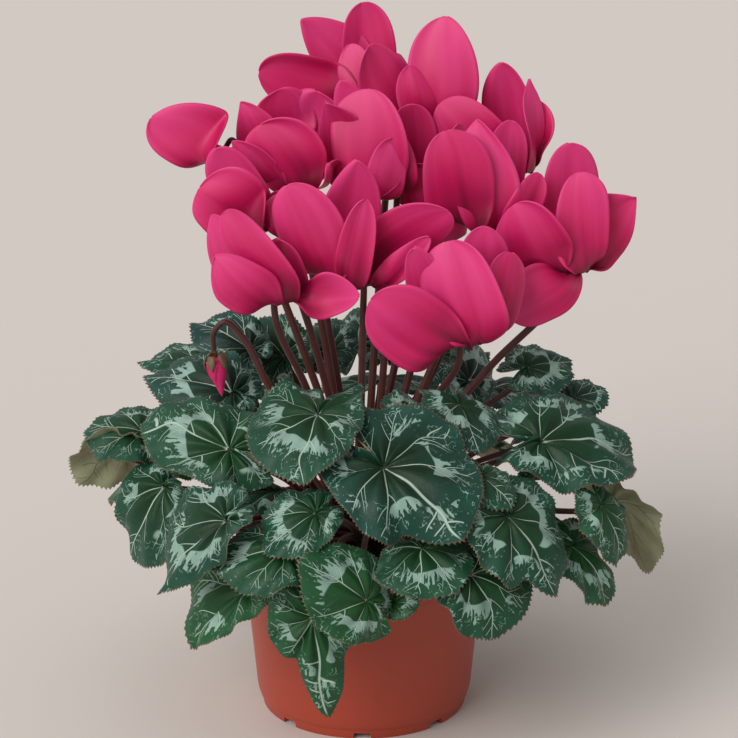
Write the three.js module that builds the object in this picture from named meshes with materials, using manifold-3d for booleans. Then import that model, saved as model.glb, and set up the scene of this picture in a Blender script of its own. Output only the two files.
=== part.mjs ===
// Potted cyclamen: a moulded plant pot, compost, a half-buried tuber with every leaf stalk and
// flower stalk grown out of it, heart-shaped leaves in a low mound, and nodding flowers whose
// five petals sweep back and up. Millimetres, +Z up, pot axis on Z, foot of the pot at z = 0.

import * as THREE from 'three';
import { mergeVertices } from 'three/addons/utils/BufferGeometryUtils.js';
import Module from 'manifold-3d';

const wasm = await Module();
wasm.setup();

// ---------------------------------------------------------------------------
// Driving dimensions
// ---------------------------------------------------------------------------

const GAP = 0.3; // air between two pieces that rest on each other

const POT = {
  height: 95,
  rimRadius: 65,
  collarHeight: 22,
  shoulderRadius: 60.3,
  footRadius: 54,
  wall: 1.6,
  collarWall: 1.9,
  footRingHeight: 6,
  footRingRadius: 51.5,
  footRingWall: 4.5,
  floorThickness: 1.8,
  segments: 32,
  notches: 8,
  notchWidth: 10,
  notchHeight: 3.2,
  notchTurn: -1, // degrees that the first notch is turned from the front
  drainHoles: 6,
  drainHoleRadius: 5,
  drainCircleRadius: 30,
};

const COMPOST = { top: 86, lump: 0.9 };

const TUBER = { radius: 23, centre: 85, rise: 11, depth: 13, segments: 24 };

const LEAF = {
  thickness: 0.9,
  edgePoints: 16,
  toothDepth: 0.035, // share of the blade's radius
  sinusDepth: 0.8, // how far the notch at the stalk cuts in
  sinusWidth: 11, // degrees
  stalkSides: 4,
  stalkSteps: 5,
  stalkFoot: 1.7,
  stalkTop: 1.15,
  elbow: 5, // straight end of a stalk, square to the blade
  clearOfRim: 106, // height that the lowest stalks bend up to before they cross the rim
};

const PETAL = {
  thickness: 0.8,
  stations: [0, 0.2, 0.5, 0.85], // along the petal, its tip closes the last one
  rootShare: 0.2, // width at the root
  widest: 0.6, // where along the petal it is widest
  rootSink: 1.2, // how deep the root sits in the throat's rim
  rootSpread: 10, // how far the root runs outward before it turns up
};

const THROAT = { radius: 4, rim: 5, height: 6, bore: 2.6, boreDepth: 4, segments: 7 };

// Around the throat, measured from the side where the flower stalk passes up to its hook.
const PETAL_SLOTS = [52, 118, 180, 242, 308];

const FLOWER_STALK = {
  sides: 4,
  foot: 2.1,
  top: 1.25,
  sideReach: 7.5, // from the flower's axis to the stalk that passes it
  hookRise: 13, // top of the hook above the throat's mouth
  hookRun: 3.8,
  stepsPerSpan: 2,
};

const CROWN = {
  leafRings: [9.5, 13, 16.5], // radii on which the leaf stalks stand in turn
  flowerRings: [2.6, 5.8, 5.8],
  sink: 2, // depth of a stalk's foot in the tuber
};

const CALYX = { radius: 4.2, height: 2.6, lobes: 5 };

const COLOUR = {
  pot: 0x8f3a2c,
  compost: 0x33261f,
  stalk: 0x4a2320,
  leaf: 0x2c4a3c,
  petal: 0xc72a6c,
  bud: 0xd14a7c,
};

// ---------------------------------------------------------------------------
// Leaves. Each blade has the point where its stalk joins (attach) and its tip. Optional:
// wide   width against length to the left and right of the tip's direction
// point  0 = rounded tip, 1 = tapered tip
// lobe   how much shorter the two lobes beside the stalk are than the tip end
// roll   degrees that the face is turned about the midrib
// droop  degrees that the midrib bends down from attach to tip
// cup    degrees that each side bends down (minus: up)
// wave   [height as a share of length, waves around the edge, phase in degrees]
// curls  [[direction, lift as a share of length], ...], direction 0 = tip, + = left of the tip
// Blades that lie across each other share a node and are joined there.
// ---------------------------------------------------------------------------

const LEAVES = {
  leaf_01: [
    {
      attach: [9, -92, 158],
      tip: [45.5, -118, 131.5],
      wide: [1.1, 0.8],
      lobe: 0.16,
      cup: 15,
      curls: [[130, 0.22], [-140, 0.2], [-38, -0.25]],
    },
  ],
  leaf_02: [
    {
      attach: [-21.5, -66, 175],
      tip: [-29, -101, 153.5],
      wide: [0.67, 1],
      lobe: 0.05,
      point: 0.1,
      cup: 20,
      curls: [[120, 0.12], [-130, 0.15]],
    },
  ],
  leaf_03: [
    {
      attach: [84.5, -50, 156],
      tip: [133.5, -25, 139],
      wide: [0.95, 0.74],
      lobe: 0.28,
      cup: 30,
    },
  ],
  leaf_04: [
    { attach: [67, -94, 134.5], tip: [88, -100, 97.5], wide: [1.05, 0.92], lobe: 0.16 },
    { attach: [54.5, -82, 150], tip: [68, -96, 137.5], wide: [0.8, 1] },
  ],
  leaf_05: [{ attach: [49.5, -103, 109], tip: [63.5, -110, 80], wide: [1.95, 1.1], lobe: 0.34 }],
  leaf_06: [{ attach: [27, -100, 121], tip: [42, -119, 106], wide: [1.1, 1.4] }],
  leaf_07: [{ attach: [113, -60, 127], tip: [121, -68, 99] }],
  leaf_08: [{ attach: [99.5, -64, 107.5], tip: [117, -66, 78.5], wide: [1.1, 0.85] }],
  leaf_09: [{ attach: [122, -24, 116], tip: [141, -20, 76], roll: -60, wide: [0.7, 0.7] }],
  leaf_10: [{ attach: [80, -3, 177], tip: [102, 12, 175], wide: [0.9, 1] }],
  leaf_11: [{ attach: [104, -4, 161.5], tip: [120, 6, 162], lobe: 0.3 }],
  leaf_12: [{ attach: [45, -47, 173.5], tip: [53.5, -73, 157], wide: [0.85, 0.85], lobe: 0.12 }],
  leaf_13: [{ attach: [20, -50, 168.5], tip: [20.5, -32, 173] }],
  leaf_14: [{ attach: [-63.5, -60, 155], tip: [-107, -37, 159.5], wide: [0.66, 0.72], point: 0.5 }],
  leaf_15: [{ attach: [-63.5, -26, 172], tip: [-105, -5, 171.5], wide: [0.65, 0.85], lobe: 0.4 }],
  leaf_16: [{ attach: [-56, 2, 185], tip: [-84, 22, 193], wide: [0.8, 0.8], lobe: 0.4 }],
  leaf_17: [{ attach: [-81, 7, 174.5], tip: [-112, 21, 172], wide: [0.6, 0.8] }],
  leaf_18: [
    { attach: [-108, -20, 150], tip: [-136, -10, 147], wide: [1.1, 1] },
    { attach: [-116, -16, 141], tip: [-142, -7, 118], roll: 70, wide: [0.8, 0.8] },
  ],
  leaf_19: [
    {
      attach: [-96, -47, 131.5],
      tip: [-113, -37, 89],
      roll: -35,
      wide: [0.9, 0.9],
      lobe: 0.5,
    },
  ],
  leaf_20: [
    {
      attach: [-63.5, -101, 135],
      tip: [-93.5, -95, 96.5],
      wide: [0.5, 1.1],
      lobe: 0.42,
      point: 0.5,
    },
  ],
  leaf_21: [{ attach: [-53, -89, 96.5], tip: [-84, -82, 62.5], wide: [0.5, 1.3], point: 0.8 }],
  leaf_22: [{ attach: [-36, -105, 121.5], tip: [-69.5, -102, 112.5], wide: [0.9, 0.72] }],
  leaf_23: [{ attach: [-22, -102, 139], tip: [-45.5, -110, 122], wide: [0.85, 1], lobe: 0.3 }],
  leaf_24: [
    { attach: [2, -114, 100], tip: [-30, -120, 122], wide: [0.9, 0.8] },
    { attach: [14, -100, 93], tip: [26, -106, 95] },
  ],
  leaf_25: [
    {
      attach: [-23.5, -108, 89],
      tip: [-16, -99, 37],
      wide: [0.62, 0.64],
      point: 1,
      lobe: 0.2,
    },
  ],
  leaf_26: [{ attach: [-42, -64, 135], tip: [-58, -82, 129], wide: [0.9, 0.9], lobe: 0.3 }],
  leaf_27: [{ attach: [52, 10, 166], tip: [58, 40, 174], wide: [0.7, 0.7] }],
  leaf_28: [{ attach: [-40, 18, 176], tip: [-55, 38, 188] }],
  leaf_29: [{ attach: [-17, 30, 176], tip: [-20, 52, 184] }],
  leaf_30: [{ attach: [98, 38, 112], tip: [138, 56, 84] }],
  leaf_31: [{ attach: [50, 92, 110], tip: [68, 128, 80] }],
  leaf_32: [{ attach: [-32, 98, 108], tip: [-50, 134, 76] }],
  leaf_33: [{ attach: [-94, 48, 112], tip: [-130, 66, 82] }],
  leaf_34: [{ attach: [66, 66, 144], tip: [98, 98, 126] }],
  leaf_35: [{ attach: [8, 90, 140], tip: [12, 132, 120] }],
  leaf_36: [{ attach: [-66, 60, 142], tip: [-98, 90, 122] }],
  leaf_37: [{ attach: [90, 22, 138], tip: [128, 32, 124] }],
  leaf_38: [{ attach: [36, 52, 166], tip: [52, 90, 158] }],
  leaf_39: [{ attach: [-3, 56, 170], tip: [2, 86, 180] }],
  leaf_40: [{ attach: [-72, 28, 160], tip: [-106, 46, 154] }],
};

// ---------------------------------------------------------------------------
// Flowers. mouth is the centre of the throat's open end, which looks down; axis points from it
// up to the hook. stalkSide is the direction, seen from above, on which the stalk passes. Each
// petal has its tip measured from the mouth, in the order of PETAL_SLOTS. Optional per petal:
// half   greatest half width, facing  direction, seen from above, that the blade is square to
// bow    how far it bulges outward, cup  how far its edges bend in (minus: out)
// sickle how far it bends sideways like a sickle, as a share of half
// ---------------------------------------------------------------------------

const FLOWERS = {
  bloom_01: {
    mouth: [6, 51, 302.5],
    stalkSide: 0,
    petals: [
      { tip: [-7, 12, 43], half: 12.5, facing: 270, sickle: -0.3 },
      { tip: [-37, 8, 35], half: 13.5, facing: 270, sickle: 0.15 },
      { tip: [-58, 0, 10], half: 15.5, facing: 268 },
      { tip: [-13, 2, 24], half: 9, facing: 265 },
      { tip: [12, 6, 18], half: 9 },
    ],
  },
  bloom_02: {
    mouth: [35, 37, 289],
    stalkSide: 60,
    petals: [
      { tip: [-2, 26, 30], half: 11 },
      { tip: [-33, -2, 40], half: 12.5, facing: 285, sickle: -0.2 },
      { tip: [-13, -5, 31], half: 9, facing: 275 },
      { tip: [5, 2, 54], half: 16.5, facing: 265 },
      { tip: [15, 6, 32], half: 10 },
    ],
  },
  bloom_03: {
    mouth: [76, 25, 269],
    stalkSide: 270,
    petals: [
      { tip: [5, 10, 44], half: 8.5, facing: 330 },
      { tip: [7, 20, 31], half: 12 },
      { tip: [-9, 6, 53], half: 12, facing: 262 },
      { tip: [-14, 18, 32], half: 10 },
      { tip: [-39, -4, 35], half: 14, facing: 262, sickle: -0.15 },
    ],
  },
  bloom_04: {
    mouth: [-68, 18, 273.5],
    stalkSide: 0,
    petals: [
      { tip: [10, 3, 6], half: 8 },
      { tip: [-2, 12, 7], half: 8 },
      { tip: [-35, 0, 24], half: 18.5, facing: 265, bow: 4, sickle: -0.55 },
      { tip: [7, -4, 8], half: 7, facing: 270 },
      { tip: [14, 2, 7], half: 8 },
    ],
  },
  bloom_05: {
    mouth: [-31, 35, 277],
    stalkSide: 270,
    petals: [
      { tip: [14, -6, -11], half: 8, facing: 300 },
      { tip: [8, 4, 29], half: 14, facing: 268 },
      { tip: [-6, 8, 28], half: 12 },
      { tip: [-10, 5, 30], half: 14, facing: 265 },
      { tip: [-29, -7, 26], half: 11, facing: 275, sickle: 0.35 },
    ],
  },
  bloom_06: {
    mouth: [-31, 8, 265.5],
    stalkSide: 90,
    petals: [
      { tip: [-10, 6, 26], half: 11 },
      { tip: [-32, -10, 25], half: 8.5, facing: 262 },
      { tip: [-19, -6, 32], half: 17, facing: 268, sickle: -0.3 },
      { tip: [15, -16, 16], half: 7 },
      { tip: [6, 14, 11], half: 7 },
    ],
  },
  bloom_07: {
    mouth: [9, 5, 261],
    stalkSide: 30,
    petals: [
      { tip: [-20, 16, 54], half: 10 },
      { tip: [-27, -8, 49], half: 13, facing: 258, sickle: -0.15 },
      { tip: [-8, 2, 53], half: 16, facing: 265 },
      { tip: [5, -5, 30], half: 9, facing: 272 },
      { tip: [6, -2, 33], half: 9.5, facing: 275 },
    ],
  },
  bloom_08: {
    mouth: [59, -2, 247.5],
    stalkSide: 90,
    petals: [
      { tip: [-13, 12, 49], half: 9 },
      { tip: [-20, -8, 50], half: 16.5, facing: 258 },
      { tip: [-5, -1, 54], half: 15, facing: 272, sickle: -0.12 },
      { tip: [25, -3, 28], half: 8, facing: 300 },
      { tip: [12, 14, 50], half: 9.5, facing: 270 },
    ],
  },
  bloom_09: {
    mouth: [101, -12, 229],
    stalkSide: 142,
    petals: [
      { tip: [-30, -9, 35], half: 17, facing: 262 },
      { tip: [-32, -10, -20], half: 13.5, facing: 262 },
      { tip: [2, -1, 49], half: 12.5, facing: 272 },
      { tip: [29, 2, 36], half: 16, facing: 282, sickle: -0.45 },
      { tip: [-2, 17, 59], half: 13, facing: 268 },
    ],
  },
  bloom_10: {
    mouth: [-44, -20, 252.5],
    stalkSide: 20,
    petals: [
      { tip: [6, 14, 15], half: 9 },
      { tip: [-26, 8, 37], half: 12, facing: 265 },
      { tip: [-34, -4, 20], half: 16, facing: 262, sickle: -0.3 },
      { tip: [13, 0, 15], half: 9 },
      { tip: [13, 8, 17], half: 9 },
    ],
  },
  bloom_11: {
    mouth: [-38, -43, 223.5],
    stalkSide: 120,
    petals: [
      { tip: [-33, 2, 41], half: 12.5, facing: 240, sickle: 0.2 },
      { tip: [-31, -13, 25], half: 15, facing: 262 },
      { tip: [-26, -5, 45], half: 10, facing: 266 },
      { tip: [36, -10, 5], half: 10.5, facing: 270 },
      { tip: [-1, -2, 30], half: 9.5 },
    ],
  },
  bloom_12: {
    mouth: [-4, -30, 226.5],
    stalkSide: 300,
    petals: [
      { tip: [35, -7, 26], half: 8, facing: 272 },
      { tip: [44, -9, 39], half: 14, facing: 272, sickle: -0.35 },
      { tip: [1, 6, 60], half: 12, facing: 270 },
      { tip: [-32, -6, 51], half: 15, facing: 258 },
      { tip: [5, -6, 44], half: 8.5, facing: 270 },
    ],
  },
  bloom_13: {
    mouth: [49, -42, 202],
    stalkSide: 120,
    petals: [
      { tip: [-26, -5, 48], half: 10, facing: 262 },
      { tip: [-46, -10, 24], half: 18.5, facing: 262, sickle: 0.1 },
      { tip: [-9, -3, 51], half: 17, facing: 265 },
      { tip: [20, 2, 44], half: 12, facing: 290 },
      { tip: [9, 8, 55], half: 12, facing: 270 },
    ],
  },
  bloom_14: {
    mouth: [34, 17, 250.5],
    stalkSide: 0,
    petals: [
      { tip: [2, 10, 30], half: 9 },
      { tip: [-8, 12, 32], half: 9 },
      { tip: [-11, 0, 54], half: 12, facing: 270 },
      { tip: [-9, -6, 25], half: 9, facing: 270 },
      { tip: [16, -2, -10], half: 8, facing: 270 },
    ],
  },
};

// The bud hangs from the end of its arched stalk.
const BUD = {
  stalk: [
    [-7, -5, 92],
    [-26, -18, 138],
    [-46, -30, 177],
    [-57, -33, 201],
    [-66, -34, 210],
    [-71.5, -34, 204.5],
    [-71.6, -34, 195.5],
  ],
  calyxTop: [-72, -34, 198.5],
  tip: [-68, -34, 172.5],
  radius: 4.8,
  length: 19,
  ridges: 5,
  twist: 70, // degrees from end to end
  segments: 10,
};

// ---------------------------------------------------------------------------
// Solids: a closed mesh becomes a manifold solid and back
// ---------------------------------------------------------------------------

const WELD = 1e-4;

function toSolid(geometry) {
  const bare = geometry.clone();
  bare.deleteAttribute('normal');
  bare.deleteAttribute('uv');
  const merged = mergeVertices(bare, WELD);
  const index = merged.index.array;
  const kept = [];
  for (let i = 0; i < index.length; i += 3) {
    const [a, b, c] = [index[i], index[i + 1], index[i + 2]];
    if (a !== b && b !== c && c !== a) {
      kept.push(a, b, c);
    }
  }
  const mesh = new wasm.Mesh({
    numProp: 3,
    vertProperties: new Float32Array(merged.attributes.position.array),
    triVerts: new Uint32Array(kept),
  });
  return new wasm.Manifold(mesh);
}

function toGeometry(solid) {
  const mesh = solid.getMesh();
  const geometry = new THREE.BufferGeometry();
  geometry.setAttribute('position', new THREE.BufferAttribute(mesh.vertProperties, 3));
  geometry.setIndex(new THREE.BufferAttribute(mesh.triVerts, 1));
  return geometry;
}

function join(solids) {
  return solids.reduce((whole, next) => whole.add(next));
}

function lathe(profile, segments) {
  const points = profile.map(([radius, height]) => new THREE.Vector2(radius, height));
  return new THREE.LatheGeometry(points, segments).rotateX(Math.PI / 2);
}

// A sheet is a middle surface: points, triangles and the loop of points around its border.
// It becomes a thin solid whose two faces are split into triangles alike.
function thicken(sheet, thickness) {
  const middle = new THREE.BufferGeometry();
  const flat = sheet.points.flatMap((point) => point.toArray());
  middle.setAttribute('position', new THREE.Float32BufferAttribute(flat, 3));
  middle.setIndex(sheet.triangles.flat());
  middle.computeVertexNormals();
  const normals = middle.attributes.normal;
  const count = sheet.points.length;
  const positions = [];
  for (const side of [0.5, -0.5]) {
    sheet.points.forEach((point, i) => {
      const normal = new THREE.Vector3().fromBufferAttribute(normals, i);
      positions.push(...point.clone().addScaledVector(normal, side * thickness).toArray());
    });
  }
  const index = [];
  for (const [a, b, c] of sheet.triangles) {
    index.push(a, b, c, a + count, c + count, b + count);
  }
  sheet.border.forEach((a, i) => {
    const b = sheet.border[(i + 1) % sheet.border.length];
    index.push(a, a + count, b, b, a + count, b + count);
  });
  const geometry = new THREE.BufferGeometry();
  geometry.setAttribute('position', new THREE.Float32BufferAttribute(positions, 3));
  geometry.setIndex(index);
  return geometry;
}

// A round rod along a curve, closed at both ends, thinning from its foot to its top.
function rod(curve, footRadius, topRadius, sides, steps) {
  const positions = [];
  const normal = new THREE.Vector3(1, 0, 0);
  for (let i = 0; i <= steps; i += 1) {
    const share = i / steps;
    const centre = curve.getPoint(share);
    const ahead = curve.getTangent(share);
    normal.addScaledVector(ahead, -normal.dot(ahead)).normalize();
    const binormal = new THREE.Vector3().crossVectors(ahead, normal);
    const radius = THREE.MathUtils.lerp(footRadius, topRadius, share);
    for (let j = 0; j < sides; j += 1) {
      const turn = (2 * Math.PI * j) / sides;
      const point = centre.clone();
      point.addScaledVector(normal, radius * Math.cos(turn));
      point.addScaledVector(binormal, radius * Math.sin(turn));
      positions.push(...point.toArray());
    }
  }
  const foot = (steps + 1) * sides;
  const top = foot + 1;
  positions.push(...curve.getPoint(0).toArray(), ...curve.getPoint(1).toArray());
  const index = [];
  for (let j = 0; j < sides; j += 1) {
    const k = (j + 1) % sides;
    for (let i = 0; i < steps; i += 1) {
      const [a, b] = [i * sides + j, i * sides + k];
      index.push(a, b, a + sides, b, b + sides, a + sides);
    }
    index.push(foot, k, j, top, steps * sides + j, steps * sides + k);
  }
  const geometry = new THREE.BufferGeometry();
  geometry.setAttribute('position', new THREE.Float32BufferAttribute(positions, 3));
  geometry.setIndex(index);
  return geometry;
}

// ---------------------------------------------------------------------------
// Pot and compost
// ---------------------------------------------------------------------------

const shoulderHeight = POT.height - POT.collarHeight;
const floorTop = POT.footRingHeight + POT.floorThickness / 2;
const floorUnder = floorTop - POT.floorThickness;

function innerWallRadius(z) {
  const share = (z - floorTop) / (shoulderHeight - floorTop);
  return THREE.MathUtils.lerp(POT.footRadius, POT.shoulderRadius, share) - POT.wall;
}

function potSolid() {
  const ringInner = POT.footRingRadius - POT.footRingWall;
  const profile = [
    [0, floorUnder],
    [ringInner, floorUnder],
    [ringInner + 0.6, 0],
    [POT.footRingRadius, 0],
    [POT.footRingRadius + 0.4, 4.4],
    [POT.footRadius - 0.6, 6],
    [POT.footRadius + 0.2, 9],
    [POT.shoulderRadius, shoulderHeight],
    [POT.rimRadius - 1.6, shoulderHeight + 0.4],
    [POT.rimRadius - 0.4, POT.height - 1.2],
    [POT.rimRadius - 1, POT.height],
    [POT.rimRadius - 2.3, POT.height - 0.4],
    [POT.rimRadius - 1.8 - POT.collarWall, shoulderHeight + 2.5],
    [innerWallRadius(shoulderHeight), shoulderHeight],
    [innerWallRadius(floorTop), floorTop],
    [0, floorTop],
  ];
  let pot = toSolid(lathe(profile, POT.segments));
  for (let i = 0; i < POT.notches; i += 1) {
    const turn = (2 * Math.PI * i) / POT.notches + THREE.MathUtils.degToRad(POT.notchTurn);
    const notch = new THREE.BoxGeometry(12, POT.notchWidth, 2 * POT.notchHeight);
    notch.translate(POT.footRingRadius, 0, 0).rotateZ(turn);
    pot = pot.subtract(toSolid(notch));
  }
  for (let i = 0; i < POT.drainHoles; i += 1) {
    const turn = (2 * Math.PI * i) / POT.drainHoles;
    const hole = new THREE.CylinderGeometry(POT.drainHoleRadius, POT.drainHoleRadius, 8, 12);
    hole.rotateX(Math.PI / 2).translate(POT.drainCircleRadius, 0, floorTop).rotateZ(turn);
    pot = pot.subtract(toSolid(hole));
  }
  return pot;
}

function tuberReach(angle) {
  return angle > 0 ? TUBER.rise : TUBER.depth;
}

// Outline of the tuber from its bottom point (-90 degrees) to its crown (90 degrees).
function tuberOutline(grow) {
  const points = [];
  for (let angle = -90; angle <= 90; angle += 18) {
    const rad = THREE.MathUtils.degToRad(angle);
    const radius = (TUBER.radius + grow) * Math.cos(rad);
    const height = (tuberReach(angle) + grow) * Math.sin(rad);
    points.push([Math.abs(angle) === 90 ? 0 : radius, TUBER.centre + height]);
  }
  return points;
}

function compostSolid() {
  const socket = tuberOutline(GAP + 0.3).filter(([, height]) => height <= TUBER.centre);
  const socketRadius = socket[socket.length - 1][0];
  const topWall = POT.rimRadius - 1.8 - POT.collarWall - GAP;
  const profile = [
    [0, floorTop + GAP],
    [innerWallRadius(floorTop) - GAP, floorTop + GAP],
    [innerWallRadius(shoulderHeight) - GAP, shoulderHeight],
    [topWall, shoulderHeight + 2.5 + GAP],
    [topWall, COMPOST.top],
    [50, COMPOST.top + 0.6],
    [41, COMPOST.top - 0.4],
    [32, COMPOST.top + 0.4],
    [socketRadius, COMPOST.top],
    ...socket.reverse(),
  ];
  const geometry = lathe(profile, POT.segments);
  const position = geometry.attributes.position;
  for (let i = 0; i < position.count; i += 1) {
    const [x, y, z] = [position.getX(i), position.getY(i), position.getZ(i)];
    const radius = Math.hypot(x, y);
    if (z > COMPOST.top - 0.5 && radius > 30 && radius < 52) {
      const lump = Math.sin(x * 0.31) * Math.cos(y * 0.27) + Math.sin((x + y) * 0.19);
      position.setZ(i, z + COMPOST.lump * lump);
    }
  }
  return toSolid(geometry);
}

// ---------------------------------------------------------------------------
// Leaf blades
// ---------------------------------------------------------------------------

const LEAF_DEFAULTS = {
  wide: [1, 1],
  point: 0.35,
  lobe: 0.22,
  roll: 0,
  droop: 35,
  cup: 25,
  wave: [0.03, 5, 0],
  curls: [],
};

// Radius of the blade's outline from the stalk, as a share of its length.
function outline(degrees, leaf) {
  const angle = THREE.MathUtils.degToRad(degrees);
  const { lobe, point } = leaf;
  const round = 0.94 - lobe + lobe * Math.cos(angle) + 0.06 * Math.cos(2 * angle);
  const toBack = (1 - Math.cos(angle)) / 2;
  const tapered = 0.62 + 0.38 * Math.exp(-Math.abs(degrees) / 38) - 0.4 * lobe * toBack * toBack;
  const fromSinus = (180 - Math.abs(degrees)) / LEAF.sinusWidth;
  const sinus = 1 - LEAF.sinusDepth * Math.exp(-fromSinus * fromSinus);
  return THREE.MathUtils.lerp(round, tapered, point) * sinus;
}

// The blade's frame: along runs from the stalk to the tip, face looks out of the upper side.
function bladeFrame(leaf) {
  const attach = new THREE.Vector3(...leaf.attach);
  const along = new THREE.Vector3(...leaf.tip).sub(attach);
  const length = along.length();
  along.normalize();
  const middle = attach.clone().addScaledVector(along, length / 2);
  const face = new THREE.Vector3(middle.x, middle.y, 0).normalize().multiplyScalar(0.7);
  face.z = 0.7;
  face.addScaledVector(along, -face.dot(along)).normalize();
  face.applyAxisAngle(along, THREE.MathUtils.degToRad(leaf.roll));
  const across = new THREE.Vector3().crossVectors(face, along);
  return { attach, along, across, face, length };
}

// Point of the blade's middle surface. reach 0 is the stalk, 1 the edge, in direction degrees.
function bladePoint(leaf, frame, reach, degrees) {
  const angle = THREE.MathUtils.degToRad(degrees);
  const radius = reach * outline(degrees, leaf);
  const forward = radius * Math.cos(angle);
  const sideways = radius * Math.sin(angle) * leaf.wide[degrees > 0 ? 0 : 1];

  const droop = THREE.MathUtils.degToRad(leaf.droop) + 1e-3;
  const arc = (frame.length * droop) / (2 * Math.sin(droop / 2));
  const start = droop / 2;
  const slope = start - droop * forward;
  const run = (arc * (Math.sin(start) - Math.sin(slope))) / droop;
  const rise = (arc * (Math.cos(slope) - Math.cos(start))) / droop;

  const bend = THREE.MathUtils.degToRad(leaf.cup) + 1e-3;
  const turn = bend * sideways;
  const lateral = (frame.length * Math.sin(turn)) / bend;
  const drop = (frame.length * (1 - Math.cos(turn))) / bend;

  const [height, waves, phase] = leaf.wave;
  let lift = height * reach * reach * Math.sin(waves * angle + THREE.MathUtils.degToRad(phase));
  for (const [direction, amount] of leaf.curls) {
    const away = (((degrees - direction + 540) % 360) - 180) / 32;
    lift += amount * reach ** 3 * Math.exp(-away * away);
  }
  const offset = lift * frame.length - drop;
  const point = frame.attach.clone();
  point.addScaledVector(frame.across, lateral);
  point.addScaledVector(frame.along, run - offset * Math.sin(slope));
  point.addScaledVector(frame.face, rise + offset * Math.cos(slope));
  return point;
}

function bladeSheet(leaf) {
  const frame = bladeFrame(leaf);
  const outer = LEAF.edgePoints;
  const inner = outer / 2;
  const points = [bladePoint(leaf, frame, 0, 0)];
  for (let i = 0; i < inner; i += 1) {
    points.push(bladePoint(leaf, frame, 0.55, (360 * i) / inner - 180));
  }
  for (let i = 0; i < outer; i += 1) {
    const tooth = i % 2 === 0 ? 1 : 1 - 2 * LEAF.toothDepth;
    points.push(bladePoint(leaf, frame, tooth, (360 * i) / outer - 180));
  }
  const triangles = [];
  const ring = (i) => 1 + (i % inner);
  const edge = (i) => 1 + inner + (i % outer);
  for (let i = 0; i < inner; i += 1) {
    triangles.push([0, ring(i), ring(i + 1)]);
    triangles.push([ring(i), edge(2 * i), edge(2 * i + 1)]);
    triangles.push([ring(i), edge(2 * i + 1), ring(i + 1)]);
    triangles.push([ring(i + 1), edge(2 * i + 1), edge(2 * i + 2)]);
  }
  const border = Array.from({ length: outer }, (unused, i) => edge(i));
  return { points, triangles, border };
}

// Stalks stand around the crown in rings, in the order of the directions that they lead to.
function crownPlaces(targets, rings) {
  const bearings = targets.map(([x, y]) => Math.atan2(y, x));
  const inOrder = targets.map((target, i) => i).sort((a, b) => bearings[a] - bearings[b]);
  const places = [];
  inOrder.forEach((target, rank) => {
    const ring = rings[rank % rings.length];
    const turn = (2 * Math.PI * (rank + 0.5)) / targets.length - Math.PI;
    const place = new THREE.Vector3(ring * Math.cos(turn), ring * Math.sin(turn), 0);
    const share = ring / TUBER.radius;
    place.z = TUBER.centre + TUBER.rise * Math.sqrt(1 - share * share) - CROWN.sink;
    places[target] = place;
  });
  return places;
}

// The stalk leaves the crown, and meets the blade from below, square to its underside.
function leafStalkCurve(leaf, foot) {
  const frame = bladeFrame(leaf);
  const droop = THREE.MathUtils.degToRad(leaf.droop);
  const under = frame.face.clone().multiplyScalar(Math.cos(droop / 2));
  under.addScaledVector(frame.along, -Math.sin(droop / 2)).normalize();
  const end = frame.attach.clone().addScaledVector(under, -(LEAF.thickness / 2 + GAP));
  const elbow = end.clone().addScaledVector(under, -LEAF.elbow);
  const shoulder = foot.clone().lerp(elbow, 0.5);
  shoulder.z = THREE.MathUtils.lerp(foot.z, elbow.z, 0.62);
  shoulder.z = Math.max(shoulder.z, LEAF.clearOfRim);
  const points = [foot, shoulder, elbow, end];
  return new THREE.CatmullRomCurve3(points, false, 'centripetal');
}

// ---------------------------------------------------------------------------
// Flowers
// ---------------------------------------------------------------------------

const PETAL_DEFAULTS = { half: 14, bow: 7, cup: 0.15, sickle: 0 };

function flowerFrame(flower) {
  const mouth = new THREE.Vector3(...flower.mouth);
  const axis = new THREE.Vector3(...(flower.axis ?? [0, 0, 1])).normalize();
  const bearing = THREE.MathUtils.degToRad(flower.stalkSide);
  const side = new THREE.Vector3(Math.cos(bearing), Math.sin(bearing), 0);
  side.addScaledVector(axis, -side.dot(axis)).normalize();
  return { mouth, axis, side };
}

function halfWidth(share, half) {
  if (share < PETAL.widest) {
    const grown = Math.sin((Math.PI / 2) * (share / PETAL.widest)) ** 1.3;
    return half * THREE.MathUtils.lerp(PETAL.rootShare, 1, grown);
  }
  const past = (share - PETAL.widest) / (1 - PETAL.widest);
  return half * Math.sqrt(Math.max(0, 1 - past ** 2.2));
}

// Horizontal direction that the blade's outer face looks toward, away from the flower.
function facingDirection(petal, outward) {
  if (petal.facing === undefined) {
    return outward.clone();
  }
  const bearing = THREE.MathUtils.degToRad(petal.facing);
  const direction = new THREE.Vector3(Math.cos(bearing), Math.sin(bearing), 0);
  return direction.dot(outward) < 0 ? direction.negate() : direction;
}

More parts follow.
